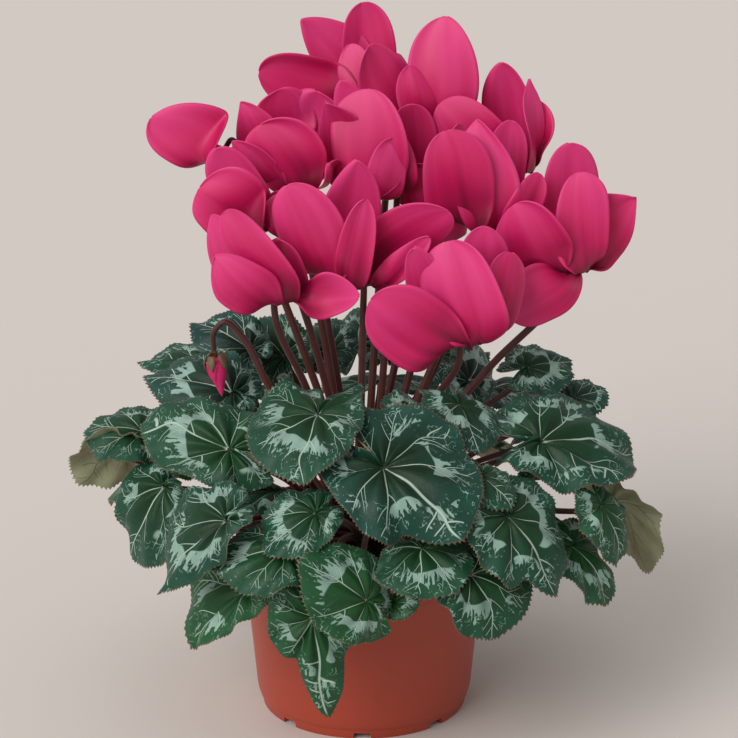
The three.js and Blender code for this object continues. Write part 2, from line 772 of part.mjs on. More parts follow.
function petalSheet(petal, slot, frame) {
  const outward = frame.side.clone();
  outward.applyAxisAngle(frame.axis, THREE.MathUtils.degToRad(PETAL_SLOTS[slot]));
  const root = frame.mouth.clone().addScaledVector(outward, THROAT.rim - PETAL.rootSink);
  root.addScaledVector(frame.axis, 0.8);
  const tip = frame.mouth.clone().add(new THREE.Vector3(...petal.tip));
  const reach = tip.clone().sub(root);
  const face = facingDirection(petal, outward);
  const first = root.clone().addScaledVector(outward, PETAL.rootSpread);
  first.addScaledVector(frame.axis, -3);
  const second = root.clone().addScaledVector(reach, 0.55).addScaledVector(face, petal.bow);
  const spine = new THREE.CubicBezierCurve3(root, first, second, tip);
  const rootSideways = new THREE.Vector3().crossVectors(frame.axis, outward);
  const bladeSideways = new THREE.Vector3().crossVectors(reach, face).normalize();
  if (bladeSideways.dot(rootSideways) < 0) {
    bladeSideways.negate();
  }

  const points = [];
  const place = (share, across) => {
    const centre = spine.getPoint(share);
    const ahead = spine.getTangent(Math.min(share, 0.995));
    const turned = THREE.MathUtils.smoothstep(share, 0, 0.5);
    const sideways = rootSideways.clone().lerp(bladeSideways, turned);
    sideways.addScaledVector(ahead, -sideways.dot(ahead)).normalize();
    const inward = new THREE.Vector3().crossVectors(sideways, ahead);
    if (inward.dot(face) > 0) {
      inward.negate();
    }
    const width = halfWidth(share, petal.half);
    const sickle = petal.sickle * petal.half * Math.sin(Math.PI * share);
    centre.addScaledVector(sideways, width * across - sickle);
    centre.addScaledVector(inward, petal.cup * width * across * across);
    points.push(centre);
  };
  for (const share of PETAL.stations) {
    place(share, -1);
    place(share, 0);
    place(share, 1);
  }
  place(1, 0);

  const rows = PETAL.stations.length;
  const triangles = [];
  for (let i = 0; i + 1 < rows; i += 1) {
    const [a, b] = [3 * i, 3 * (i + 1)];
    triangles.push([a, a + 1, b], [b, a + 1, b + 1]);
    triangles.push([a + 1, a + 2, b + 1], [b + 1, a + 2, b + 2]);
  }
  const last = 3 * (rows - 1);
  triangles.push([last, last + 1, 3 * rows], [last + 1, last + 2, 3 * rows]);
  const border = [0, 1, 2];
  for (let i = 1; i < rows; i += 1) {
    border.push(3 * i + 2);
  }
  border.push(3 * rows);
  for (let i = rows - 1; i > 0; i -= 1) {
    border.push(3 * i);
  }
  return { points, triangles, border };
}

function placeOnAxis(geometry, frame) {
  const turn = new THREE.Quaternion();
  turn.setFromUnitVectors(new THREE.Vector3(0, 0, 1), frame.axis);
  geometry.applyQuaternion(turn);
  geometry.translate(frame.mouth.x, frame.mouth.y, frame.mouth.z);
  return geometry;
}

function bloomSolid(flower) {
  const frame = flowerFrame(flower);
  const throat = lathe(
    [
      [0, THROAT.boreDepth],
      [THROAT.bore, 0],
      [THROAT.rim, 0],
      [THROAT.radius, THROAT.height * 0.5],
      [THROAT.radius - 0.6, THROAT.height],
      [0, THROAT.height],
    ],
    THROAT.segments,
  );
  const pieces = [toSolid(placeOnAxis(throat, frame))];
  flower.petals.forEach((petal, slot) => {
    const sheet = petalSheet({ ...PETAL_DEFAULTS, ...petal }, slot, frame);
    pieces.push(toSolid(thicken(sheet, PETAL.thickness)));
  });
  return join(pieces);
}

// The stalk rises past the mouth on its own side, hooks over and ends in the calyx.
function flowerStalk(flower, foot) {
  const frame = flowerFrame(flower);
  const at = (aside, up) => {
    const point = frame.mouth.clone().addScaledVector(frame.side, aside);
    return point.addScaledVector(frame.axis, up);
  };
  const pass = at(FLOWER_STALK.sideReach, -12);
  const low = foot.clone().lerp(pass, 0.3);
  low.z += 8;
  const mid = foot.clone().lerp(pass, 0.65);
  mid.z += 6;
  const curve = new THREE.CatmullRomCurve3(
    [
      foot,
      low,
      mid,
      pass,
      at(FLOWER_STALK.sideReach, 8),
      at(FLOWER_STALK.hookRun, FLOWER_STALK.hookRise),
      at(0, THROAT.height + GAP + CALYX.height - 1),
    ],
    false,
    'centripetal',
  );
  const steps = 6 * FLOWER_STALK.stepsPerSpan;
  const stem = rod(curve, FLOWER_STALK.foot, FLOWER_STALK.top, FLOWER_STALK.sides, steps);
  const calyx = new THREE.ConeGeometry(CALYX.radius, CALYX.height, CALYX.lobes);
  calyx.rotateX(Math.PI / 2).translate(0, 0, THROAT.height + GAP + CALYX.height / 2);
  return toSolid(stem).add(toSolid(placeOnAxis(calyx, frame)));
}

function budFrame() {
  const top = new THREE.Vector3(...BUD.calyxTop);
  const tip = new THREE.Vector3(...BUD.tip);
  return { mouth: tip, axis: top.clone().sub(tip).normalize(), top };
}

// A spindle with the folded petals' ridges wound around it.
function budSolid() {
  const frame = budFrame();
  const profile = [
    [0, 0],
    [0.22, 0.12],
    [0.6, 0.38],
    [0.95, 0.68],
    [1, 0.85],
    [0.7, 1],
    [0, 1],
  ].map(([radius, height]) => [radius * BUD.radius, height * BUD.length]);
  const geometry = lathe(profile, BUD.segments);
  const position = geometry.attributes.position;
  for (let i = 0; i < position.count; i += 1) {
    const point = new THREE.Vector3().fromBufferAttribute(position, i);
    const bearing = Math.atan2(point.y, point.x);
    const ridge = 1 + 0.12 * Math.cos(BUD.ridges * bearing);
    point.x *= ridge;
    point.y *= ridge;
    const twist = THREE.MathUtils.degToRad(BUD.twist) * (point.z / BUD.length);
    point.applyAxisAngle(new THREE.Vector3(0, 0, 1), twist);
    position.setXYZ(i, point.x, point.y, point.z);
  }
  return toSolid(placeOnAxis(geometry, frame));
}

function budStalk() {
  const frame = budFrame();
  const points = BUD.stalk.map((point) => new THREE.Vector3(...point));
  const curve = new THREE.CatmullRomCurve3(points, false, 'centripetal');
  const steps = (points.length - 1) * FLOWER_STALK.stepsPerSpan;
  const stem = rod(curve, FLOWER_STALK.foot, FLOWER_STALK.top, FLOWER_STALK.sides, steps);
  const height = frame.top.distanceTo(frame.mouth) - BUD.length - GAP;
  const calyx = new THREE.ConeGeometry(BUD.radius, height, 2 * CALYX.lobes);
  calyx.rotateX(Math.PI / 2).translate(0, 0, BUD.length + GAP + height / 2);
  return toSolid(stem).add(toSolid(placeOnAxis(calyx, frame)));
}

// ---------------------------------------------------------------------------
// Assembly
// ---------------------------------------------------------------------------

const plant = new THREE.Group();

function addPiece(name, solid, colour, roughness) {
  const material = new THREE.MeshStandardMaterial({ color: colour, roughness, metalness: 0 });
  const mesh = new THREE.Mesh(toGeometry(solid), material);
  mesh.name = name;
  plant.add(mesh);
}

addPiece('pot', potSolid(), COLOUR.pot, 0.5);
addPiece('compost', compostSolid(), COLOUR.compost, 1);

const grown = [toSolid(lathe(tuberOutline(0), TUBER.segments))];
for (const [name, blades] of Object.entries(LEAVES)) {
  const solids = blades.map((blade) => {
    const leaf = { ...LEAF_DEFAULTS, ...blade };
    return toSolid(thicken(bladeSheet(leaf), LEAF.thickness));
  });
  addPiece(name, join(solids), COLOUR.leaf, 0.5);
}
const everyBlade = Object.values(LEAVES).flat();
crownPlaces(everyBlade.map((blade) => blade.attach), CROWN.leafRings).forEach((foot, i) => {
  const stalk = leafStalkCurve({ ...LEAF_DEFAULTS, ...everyBlade[i] }, foot);
  grown.push(toSolid(rod(stalk, LEAF.stalkFoot, LEAF.stalkTop, LEAF.stalkSides, LEAF.stalkSteps)));
});
const everyFlower = Object.entries(FLOWERS);
const mouths = everyFlower.map(([, flower]) => flower.mouth);
crownPlaces(mouths, CROWN.flowerRings).forEach((foot, i) => {
  const [name, flower] = everyFlower[i];
  addPiece(name, bloomSolid(flower), COLOUR.petal, 0.55);
  grown.push(flowerStalk(flower, foot));
});
addPiece('bud', budSolid(), COLOUR.bud, 0.5);
grown.push(budStalk());
addPiece('tuber', join(grown), COLOUR.stalk, 0.6);

export default plant;
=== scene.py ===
"""Potted cyclamen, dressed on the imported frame: veined and silver-marbled leaves, magenta
flowers, fleshy stalks, a bud, compost and a moulded pot. Metres, +Z up, pot axis on Z."""

import random
from math import atan2, copysign, cos, exp, pi, radians, sin, sqrt

import bpy
import numpy as np
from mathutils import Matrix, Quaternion, Vector


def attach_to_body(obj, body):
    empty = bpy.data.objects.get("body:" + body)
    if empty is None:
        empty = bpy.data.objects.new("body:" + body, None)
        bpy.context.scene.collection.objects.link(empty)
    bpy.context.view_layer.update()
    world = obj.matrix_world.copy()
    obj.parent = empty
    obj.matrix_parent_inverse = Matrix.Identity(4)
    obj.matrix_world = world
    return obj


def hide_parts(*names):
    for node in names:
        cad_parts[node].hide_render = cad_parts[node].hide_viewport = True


bl_info = {
    "name": "Potted cyclamen",
    "version": (1, 0, 0),
    "blender": (4, 5, 0),
    "location": "View3D > Sidebar > Cyclamen",
    "description": "Builds a potted cyclamen around its packed solid model",
    "category": "Add Mesh",
}

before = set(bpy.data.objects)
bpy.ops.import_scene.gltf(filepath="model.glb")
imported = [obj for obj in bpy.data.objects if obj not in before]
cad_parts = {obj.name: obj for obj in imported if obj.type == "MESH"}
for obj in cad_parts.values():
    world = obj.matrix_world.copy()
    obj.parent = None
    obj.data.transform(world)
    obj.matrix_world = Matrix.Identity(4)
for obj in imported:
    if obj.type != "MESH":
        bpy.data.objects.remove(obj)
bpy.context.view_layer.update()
MM = 0.001

# ---- The plant's measures, in millimetres and degrees ----

# Blades: number of the leaf, attach, where the stalk joins, tip, the blade's end, and what
# departs from BLADE_REST. wide: width against length on the left and right, point: 0 rounded
# to 1 tapered, lobe: how short the two lobes beside the stalk are, roll, droop and cup: turns
# about and along the midrib, wave: height, count and phase around the edge, curls: (direction,
# lift) with 0 at the tip, notches: (direction, depth, spread), corners: how far the margin
# stands out at each main vein, ruffle: height of the margin's frill.
BLADE_REST = dict(
    wide=(1, 1),
    point=0.35,
    lobe=0.22,
    roll=0,
    droop=35,
    cup=25,
    wave=(0.03, 5, 0),
    curls=(),
    corners=0.012,
    ruffle=0.026,
)
BLADES = (
    (1, (9, -92, 158), (45.5, -118, 131.5),
     dict(
         wide=(1.1, 0.8), lobe=0.16, cup=15, curls=((130, 0.22), (-140, 0.2), (-38, -0.25)),
         notches=((-30, 0.26, 14), (60, 0.05, 12))
     )),
    (2, (-21.5, -66, 175), (-29, -101, 153.5),
     dict(wide=(0.67, 1), lobe=0.05, point=0.1, cup=20, curls=((120, 0.12), (-130, 0.15)))),
    (3, (84.5, -50, 156), (133.5, -25, 139), dict(wide=(0.95, 0.74), lobe=0.28, cup=30)),
    (4, (67, -94, 134.5), (88, -100, 97.5),
     dict(wide=(1.05, 0.92), lobe=0.16, notches=((-24, 0.2, 11), (70, 0.06, 12)))),
    (4, (54.5, -82, 150), (68, -96, 137.5), dict(wide=(0.8, 1))),
    (5, (49.5, -103, 109), (63.5, -110, 80), dict(wide=(1.95, 1.1), lobe=0.34)),
    (6, (27, -100, 121), (42, -119, 106), dict(wide=(1.1, 1.4))),
    (7, (113, -60, 127), (121, -68, 99), {}),
    (8, (99.5, -64, 107.5), (117, -66, 78.5), dict(wide=(1.1, 0.85))),
    (9, (122, -24, 116), (141, -20, 76), dict(roll=-60, wide=(0.7, 0.7))),
    (10, (80, -3, 177), (102, 12, 175), dict(wide=(0.9, 1))),
    (11, (104, -4, 161.5), (120, 6, 162), dict(lobe=0.3)),
    (12, (45, -47, 173.5), (53.5, -73, 157), dict(wide=(0.85, 0.85), lobe=0.12)),
    (13, (20, -50, 168.5), (20.5, -32, 173), {}),
    (14, (-63.5, -60, 155), (-107, -37, 159.5), dict(wide=(0.66, 0.72), point=0.5)),
    (15, (-63.5, -26, 172), (-105, -5, 171.5), dict(wide=(0.65, 0.85), lobe=0.4)),
    (16, (-56, 2, 185), (-84, 22, 193), dict(wide=(0.8, 0.8), lobe=0.4)),
    (17, (-81, 7, 174.5), (-112, 21, 172), dict(wide=(0.6, 0.8))),
    (18, (-108, -20, 150), (-136, -10, 147), dict(wide=(1.1, 1))),
    (18, (-116, -16, 141), (-142, -7, 118), dict(roll=70, wide=(0.8, 0.8))),
    (19, (-96, -47, 131.5), (-113, -37, 89), dict(roll=-35, wide=(0.9, 0.9), lobe=0.5)),
    (20, (-63.5, -101, 135), (-93.5, -95, 96.5), dict(wide=(0.5, 1.1), lobe=0.42, point=0.5)),
    (21, (-53, -89, 96.5), (-84, -82, 62.5), dict(wide=(0.5, 1.3), point=0.8)),
    (22, (-36, -105, 121.5), (-69.5, -102, 112.5), dict(wide=(0.9, 0.72))),
    (23, (-22, -102, 139), (-45.5, -110, 122), dict(wide=(0.85, 1), lobe=0.3)),
    (24, (2, -114, 100), (-30, -120, 122), dict(wide=(0.9, 0.8))),
    (24, (14, -100, 93), (26, -106, 95), {}),
    (25, (-23.5, -108, 89), (-16, -99, 37),
     dict(wide=(0.62, 0.64), point=1, lobe=0.2, notches=((-40, 0.34, 19), (42, 0.28, 20)))),
    (26, (-42, -64, 135), (-58, -82, 129), dict(wide=(0.9, 0.9), lobe=0.3)),
    (27, (52, 10, 166), (58, 40, 174), dict(wide=(0.7, 0.7))),
    (28, (-40, 18, 176), (-55, 38, 188), {}),
    (29, (-17, 30, 176), (-20, 52, 184), {}),
    (30, (98, 38, 112), (138, 56, 84), {}),
    (31, (50, 92, 110), (68, 128, 80), {}),
    (32, (-32, 98, 108), (-50, 134, 76), {}),
    (33, (-94, 48, 112), (-130, 66, 82), {}),
    (34, (66, 66, 144), (98, 98, 126), {}),
    (35, (8, 90, 140), (12, 132, 120), {}),
    (36, (-66, 60, 142), (-98, 90, 122), {}),
    (37, (90, 22, 138), (128, 32, 124), {}),
    (38, (36, 52, 166), (52, 90, 158), {}),
    (39, (-3, 56, 170), (2, 86, 180), {}),
    (40, (-72, 28, 160), (-106, 46, 154), {}),
)
LEAVES = {}
for number, attach, tip, own in BLADES:
    blade = {**BLADE_REST, "attach": attach, "tip": tip, **own}
    LEAVES.setdefault(f"leaf_{number:02}", []).append(blade)

# Flowers: mouth, the centre of the throat's open end, which looks down, and the direction,
# seen from above, on which the stalk passes. Then each petal: its tip measured from the mouth,
# its greatest half width, the direction its blade is square to, and what else is its own.
BLOOMS = (
    ((6, 51, 302.5), 0, (
        ((-7, 12, 43), 12.5, 270, dict(sickle=-0.3, point=0.1, ruffle=0.6)),
        ((-37, 8, 35), 13.5, 270, dict(sickle=0.15, point=0.9)),
        ((-58, 0, 10), 15.5, 268, dict(point=0, ruffle=0.5)),
        ((-13, 2, 24), 9, 265, dict(point=0.3)),
        ((12, 6, 18), 9, None, {}),
    )),
    ((35, 37, 289), 60, (
        ((-2, 26, 30), 11, None, {}),
        ((-33, -2, 40), 12.5, 285, dict(sickle=-0.2, point=0.25, fold=0.25)),
        ((-13, -5, 31), 9, 275, dict(point=0.1)),
        ((5, 2, 54), 16.5, 265, dict(point=0.4, ruffle=0.5, fold=-0.15)),
        ((15, 6, 32), 10, None, {}),
    )),
    ((76, 25, 269), 270, (
        ((5, 10, 44), 8.5, 330, dict(point=0.9)),
        ((7, 20, 31), 12, None, dict(point=0.3)),
        ((-9, 6, 53), 12, 262, dict(point=0.5, ruffle=0.5)),
        ((-14, 18, 32), 10, None, {}),
        ((-39, -4, 35), 14, 262, dict(sickle=-0.15, point=0)),
    )),
    ((-68, 18, 273.5), 0, (
        ((10, 3, 6), 8, None, {}),
        ((-2, 12, 7), 8, None, {}),
        ((-35, 0, 24), 17.5, 265, dict(bow=4, sickle=-0.55, point=0.45, ruffle=0.5)),
        ((7, -4, 8), 7, 270, {}),
        ((14, 2, 7), 8, None, {}),
    )),
    ((-31, 35, 277), 270, (
        ((14, -6, -11), 8, 300, dict(point=0.3)),
        ((8, 4, 29), 14, 268, dict(point=0.2)),
        ((-6, 8, 28), 12, None, {}),
        ((-10, 5, 30), 14, 265, dict(point=0.05, ruffle=0.6)),
        ((-29, -7, 26), 11, 275, dict(sickle=0.35, point=0.85)),
    )),
    ((-31, 8, 265.5), 90, (
        ((-10, 6, 26), 11, None, {}),
        ((-32, -10, 25), 8.5, 262, dict(point=0.85, ruffle=0.4)),
        ((-19, -6, 32), 17, 268, dict(sickle=-0.3, point=0, ruffle=0.4)),
        ((15, -16, 16), 7, None, dict(point=0.2)),
        ((6, 14, 11), 7, None, {}),
    )),
    ((9, 5, 261), 30, (
        ((-20, 16, 54), 10, None, dict(point=0.2)),
        ((-27, -8, 49), 13, 258, dict(sickle=-0.15, bow=13, point=0.8)),
        ((-8, 2, 53), 17, 265, dict(point=0, ruffle=0.5)),
        ((5, -5, 30), 9, 272, dict(point=0.1)),
        ((6, -2, 33), 9.5, 275, dict(point=0.2)),
    )),
    ((59, -2, 247.5), 90, (
        ((-13, 12, 49), 9, None, {}),
        ((-20, -8, 50), 16.5, 258, dict(point=0.15, ruffle=0.4)),
        ((-5, -1, 54), 15, 272, dict(sickle=-0.12, point=0.85)),
        ((25, -3, 28), 8, 300, dict(point=0.2, ruffle=0.5)),
        ((12, 14, 50), 9.5, 270, dict(point=0, ruffle=0.5)),
    )),
    ((101, -12, 229), 142, (
        ((-30, -9, 35), 17, 262, dict(point=0.1, ruffle=0.5)),
        ((-32, -10, -20), 13.5, 262, dict(point=0, ruffle=0.5)),
        ((2, -1, 49), 12.5, 272, dict(point=0, ruffle=0.5)),
        ((29, 2, 36), 16, 282, dict(sickle=-0.45, point=0.9)),
        ((-2, 17, 59), 13, 268, dict(point=0, ruffle=0.8)),
    )),
    ((-44, -20, 252.5), 20, (
        ((6, 14, 15), 9, None, {}),
        ((-26, 8, 37), 12, 265, dict(point=0.1)),
        ((-34, -4, 20), 18, 262, dict(sickle=-0.3, point=0, ruffle=0.5)),
        ((13, 0, 15), 9, None, {}),
        ((13, 8, 17), 9, None, {}),
    )),
    ((-38, -43, 223.5), 120, (
        ((-33, 2, 41), 12.5, 240, dict(sickle=0.2, point=0.6)),
        ((-31, -13, 25), 12.5, 262, dict(point=0.7, ruffle=1.4)),
        ((-26, -5, 45), 10, 266, dict(point=0.1)),
        ((36, -10, 5), 10.5, 270, dict(point=0.5, ruffle=0.6)),
        ((-1, -2, 30), 9.5, None, dict(point=0.2)),
    )),
    ((-4, -30, 226.5), 300, (
        ((35, -7, 26), 6, 272, dict(point=0.3)),
        ((44, -9, 39), 14, 272, dict(sickle=-0.35, point=0, ruffle=0.5)),
        ((1, 6, 60), 14.5, 270, dict(point=0.7)),
        ((-32, -6, 51), 15, 258, dict(point=0.05, ruffle=0.4)),
        ((5, -6, 44), 8.5, 270, dict(point=0.3)),
    )),
    ((49, -42, 202), 120, (
        ((-26, -5, 48), 10, 262, dict(point=0.3)),
        ((-46, -10, 24), 18.5, 262, dict(sickle=0.1, point=0.1, ruffle=0.7)),
        ((-9, -3, 51), 17, 265, dict(point=0.05, ruffle=0.5)),
        ((20, 2, 44), 12, 290, dict(point=0.1)),
        ((9, 8, 55), 12, 270, dict(point=0.05)),
    )),
    ((34, 17, 250.5), 0, (
        ((2, 10, 30), 9, None, {}),
        ((-8, 12, 32), 9, None, {}),
        ((-11, 0, 54), 12, 270, dict(point=0, ruffle=0.4)),
        ((-9, -6, 25), 9, 270, dict(point=0)),
        ((16, -2, -10), 8, 270, {}),
    )),
)
FLOWERS = {}
for number, (mouth, stalk_side, petals) in enumerate(BLOOMS, 1):
    FLOWERS[f"bloom_{number:02}"] = dict(
        mouth=np.array(mouth, dtype=float),
        stalk_side=radians(stalk_side),
        petals=[
            dict(tip=tip, half=half, facing=facing, **own) for tip, half, facing, own in petals
        ],
    )
# Lowest and highest draw: point and twist of the tip, sideways sickle, fold of one half, edge
# that turns back, curl of the tip and waves of the margin in millimetres, and how far the
# widest place shifts towards the tip on one side and towards the root on the other.
PETAL_DRAWS = dict(
    point=(0.1, 0.5),
    twist=(-30, 30),
    sickle=(-0.12, 0.12),
    fold=(-0.22, 0.22),
    turned=(-1.1, 1.1),
    curl=(-2.0, 2.0),
    ruffle=(0.7, 1.7),
    lean=(-0.1, 0.1),
)
PETAL_SLOTS = (52, 118, 180, 242, 308)  # degrees round the throat from the stalk's side
PETAL = dict(
    widest=0.6,  # share of the length
    fullness=1.08,  # width against that of the plain solid
    root_share=0.25,
    root_sink=1.2,
    root_rise=0.8,
    root_spread=10,
    root_dip=3,
    bow=7,  # outward bulge
    bow_place=0.55,
    cup=0.105,
    wobble=0.05,
    crease=0.3,
    crease_width=0.3,
    curl_gain=2.6,
    rows=36,
    columns=21,
    crowding=1.35,  # above 1 the rows stand closer near the tip
)
UP = np.array((0.0, 0.0, 1.0))
THROAT = dict(radius=4, rim=5, height=6, bore=2.6, depth=4)
HOOK = dict(side=7.5, rise=13, run=3.8)
CALYX_HEIGHT = 2.6
SEPAL = dict(length=4.5, half=2.0, ring=3.2, rows=7)

BUD = dict(
    stalk=(
        (-7, -5, 92),
        (-26, -18, 138),
        (-46, -30, 177),
        (-57, -33, 201),
        (-66, -34, 210),
        (-71.5, -34, 204.5),
        (-71.6, -34, 195.5),
    ),
    calyx_top=np.array((-72, -34, 198.5), dtype=float),
    tip=np.array((-68, -34, 172.5), dtype=float),
    radius=4.8,
    length=19,
    twist=70,
    sepal=7.5,
    sepal_ring=4.3,
)

BLADE_THICKNESS = 0.9
# Reach of each ring of points, from the stalk to the margin.
BLADE_RINGS = (0.05, 0.12, 0.2, 0.3, 0.4, 0.5, 0.6, 0.69, 0.77, 0.84, 0.9, 0.95, 0.982, 1)
TOOTH = 0.75  # height of a tooth on the margin
VEIN_PUFF = 0.026  # rise of the skin between the veins, against the length
LOWER_LEAVES = 170  # below this height the green grows warmer
SINUS_DEPTH = 0.8  # of the gap between the two lobes, as a share of their length
SINUS_WIDTH = 11  # degrees
VEIN_GAP = 40  # degrees between the main veins
TUBER = dict(radius=23, centre=85, rise=11, depth=13)
LEAF_RINGS = (9.5, 13, 16.5)  # radii on which the stalks stand in the crown
FLOWER_RINGS = (2.6, 5.8, 5.8)
CROWN_SINK = 2
CLEAR_OF_RIM = 106  # least height of a leaf stalk where it passes the pot's rim
STALK_ELBOW = 5
LEAF_STALK = (1.7, 1.15)  # radius at the foot and at the top
FLOWER_STALK = (2.1, 1.25)
STALK_STEPS = dict(leaf=36, flower=60, bud=48)
STALK_SIDES = 14
STALK_WAVER = 0.1  # unevenness of the skin

POT = dict(
    height=95,
    rim=65,
    collar=22,
    shoulder=60.3,
    foot=54,
    wall=1.6,
    ring=51.5,
    ring_wall=4.5,
    floor_top=6.9,
    floor=1.8,
    notches=8,
    holes=6,
    hole_radius=5,
    hole_place=30,
)
POT_SHOULDER = POT["height"] - POT["collar"]
COMPOST_TOP = 86

# ---- Helpers ----


def linear(colour):
    """An sRGB hex colour as linear red, green and blue."""
    shares = [int(colour[i : i + 2], 16) / 255 for i in (1, 3, 5)]
    return [c / 12.92 if c <= 0.04045 else ((c + 0.055) / 1.055) ** 2.4 for c in shares]


def add(tree, kind, inputs=None, out=0, stops=(), **settings):
    """Adds a node with its properties, colour stops and inputs, set or linked; gives an output."""
    node = tree.nodes.new(kind)
    for name, value in settings.items():
        setattr(node, name, value)
    for i, (place, colour) in enumerate(stops):
        elements = node.color_ramp.elements
        stop = elements[i] if i < 2 else elements.new(place)
        stop.color, stop.position = (*colour, 1), place
    for key, value in (inputs or {}).items():
        socket = node.inputs[key]
        if isinstance(value, bpy.types.NodeSocket):
            tree.links.new(value, socket)
        else:
            socket.default_value = (*value, 1) if socket.type == "RGBA" else value
    return node.outputs[out] if node.outputs else None


def blank_material(name):
    """An empty node material and its tree."""
    material = bpy.data.materials.new(name)
    material.use_nodes = True
    material.node_tree.nodes.clear()
    return material, material.node_tree


def finished(material, inputs, relief=None):
    """Ends a material with its shader and, where it has relief, its bump."""
    tree = material.node_tree
    if relief:
        strength, distance, height = relief
        relief = {"Strength": strength, "Distance": distance, "Height": height}
        inputs["Normal"] = add(tree, "ShaderNodeBump", relief)
    shader = add(tree, "ShaderNodeBsdfPrincipled", inputs)
    add(tree, "ShaderNodeOutputMaterial", {0: shader})
    return material


def calculate(tree, values, steps):
    """Adds the named steps in order; a term is an earlier value's name, or a number."""
    for name, operation, *terms in steps:
        inputs = {i: values.get(term, term) for i, term in enumerate(terms)}
        if operation == "SMOOTHSTEP":
            values[name] = add(tree, "ShaderNodeMapRange", inputs, interpolation_type=operation)
        else:
            values[name] = add(tree, "ShaderNodeMath", inputs, operation=operation)


def build_mesh(name, points, faces, uv=None, layers=None):
    """A smooth mesh from points in millimetres, with one UV and named values per point."""
    mesh = bpy.data.meshes.new(name)
    mesh.from_pydata(np.asarray(points, dtype=float) * MM, [], faces)
    for layer, values in (layers or {}).items():
        attribute = mesh.attributes.new(layer, "FLOAT", "POINT")
        attribute.data.foreach_set("value", np.asarray(values, dtype=np.float32))
    if uv is not None:
        corners = np.empty(len(mesh.loops), dtype=np.int32)
        mesh.loops.foreach_get("vertex_index", corners)
        spread = np.asarray(uv, dtype=np.float32)[corners]
        mesh.uv_layers.new(name="surface").data.foreach_set("uv", spread.ravel())
    mesh.shade_smooth()
    return mesh


def placed(name, data):
    """A linked object that holds the data."""
    thing = bpy.data.objects.new(name, data)
    bpy.context.scene.collection.objects.link(thing)
    return thing


def show(name, mesh, material, node):
    """Makes the mesh a piece of the plant that stands for the CAD node."""
    piece = placed(name, mesh)
    mesh.materials.clear()
    mesh.materials.append(material)
    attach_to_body(piece, "root")
    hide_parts(node)


def merge(parts):
    """Joins (points, faces, uv, layers) parts into one set."""
    points, faces, uv, layers = [], [], [], {}
    for part_points, part_faces, part_uv, part_layers in parts:
        start = len(points)
        points.extend(part_points)
        uv.extend(part_uv)
        faces.extend([tuple(start + corner for corner in face) for face in part_faces])
        for layer, values in part_layers.items():
            layers.setdefault(layer, []).extend(values)
    return points, faces, uv, layers


def baked(source):
    """The source object's modified mesh as plain data; the source is removed."""
    bpy.context.view_layer.update()
    graph = bpy.context.evaluated_depsgraph_get()
    mesh = bpy.data.meshes.new_from_object(source.evaluated_get(graph))
    bpy.data.objects.remove(source)
    mesh.shade_smooth()
    return mesh


def grown(name, mesh, wanted, grow):
    """The mesh after a Geometry Nodes tree, as plain data.

    wanted holds the tree's inputs, as name: (kind of socket, value), and grow(tree, given)
    adds the nodes between them and gives the last geometry.
    """
    tree = bpy.data.node_groups.new(name, "GeometryNodeTree")
    new_socket = tree.interface.new_socket
    for way in ("INPUT", "OUTPUT"):
        new_socket("Geometry", in_out=way, socket_type="NodeSocketGeometry")
    modifier = placed(name, mesh).modifiers.new(name, "NODES")
    keys = {}
    for key, (kind, _) in wanted.items():
        keys[key] = new_socket(key, in_out="INPUT", socket_type=f"NodeSocket{kind}").identifier
    given = add(tree, "NodeGroupInput").node.outputs
    whole = add(tree, "GeometryNodeRealizeInstances", {0: grow(tree, given)})
    whole = add(tree, "GeometryNodeSetMaterial", {0: whole, "Material": given["Material"]})
    add(tree, "NodeGroupOutput", {0: whole})
    modifier.node_group = tree
    for key, (_, value) in wanted.items():
        modifier[keys[key]] = value
    return baked(modifier.id_data)


def unit(vectors):
    """Vectors scaled to length one."""
    length = np.linalg.norm(vectors, axis=-1, keepdims=True)
    return vectors / np.maximum(length, 1e-9)


def towards(bearing):
    """Level direction at that bearing in radians."""
    return np.array((cos(bearing), sin(bearing), 0.0))


def revolve(profile, segments, bend=None):
    """A closed solid of revolution; the profile (radius, height) starts and ends on the axis."""
    points, rings = [], []
    for radius, height in profile:
        count = 1 if radius == 0 else segments
        rings.append([len(points) + i for i in range(count)])
        for i in range(count):
            turn = 2 * pi * i / segments
            points.append((radius * cos(turn), radius * sin(turn), height))
    if bend:
        points = [bend(*point) for point in points]
    faces = []
    for low, high in zip(rings, rings[1:]):
        for i in range(segments):
            j = (i + 1) % segments
            if len(low) == 1:
                faces.append((low[0], high[j], high[i]))
            elif len(high) == 1:
                faces.append((low[i], low[j], high[0]))
            else:
                faces.append((low[i], low[j], high[j], high[i]))
    return points, faces


def shell_faces(rows, columns):
    """Faces of a closed thin shell: two grids of points, and the rim that joins them."""
    faces, below = [], rows * columns
    for i in range(rows - 1):
        for j in range(columns - 1):
            a = i * columns + j
            b, c, d = a + 1, a + 1 + columns, a + columns
            faces.append((a, b, c, d))
            faces.append((below + a, below + d, below + c, below + b))
    rim = list(range(columns)) + [i * columns + columns - 1 for i in range(1, rows)]
    rim += [(rows - 1) * columns + j for j in range(columns - 2, -1, -1)]
    rim += [i * columns for i in range(rows - 2, 0, -1)]
    for a, b in zip(rim, rim[1:] + rim[:1]):
        faces.append((a, below + a, below + b, b))
    return faces


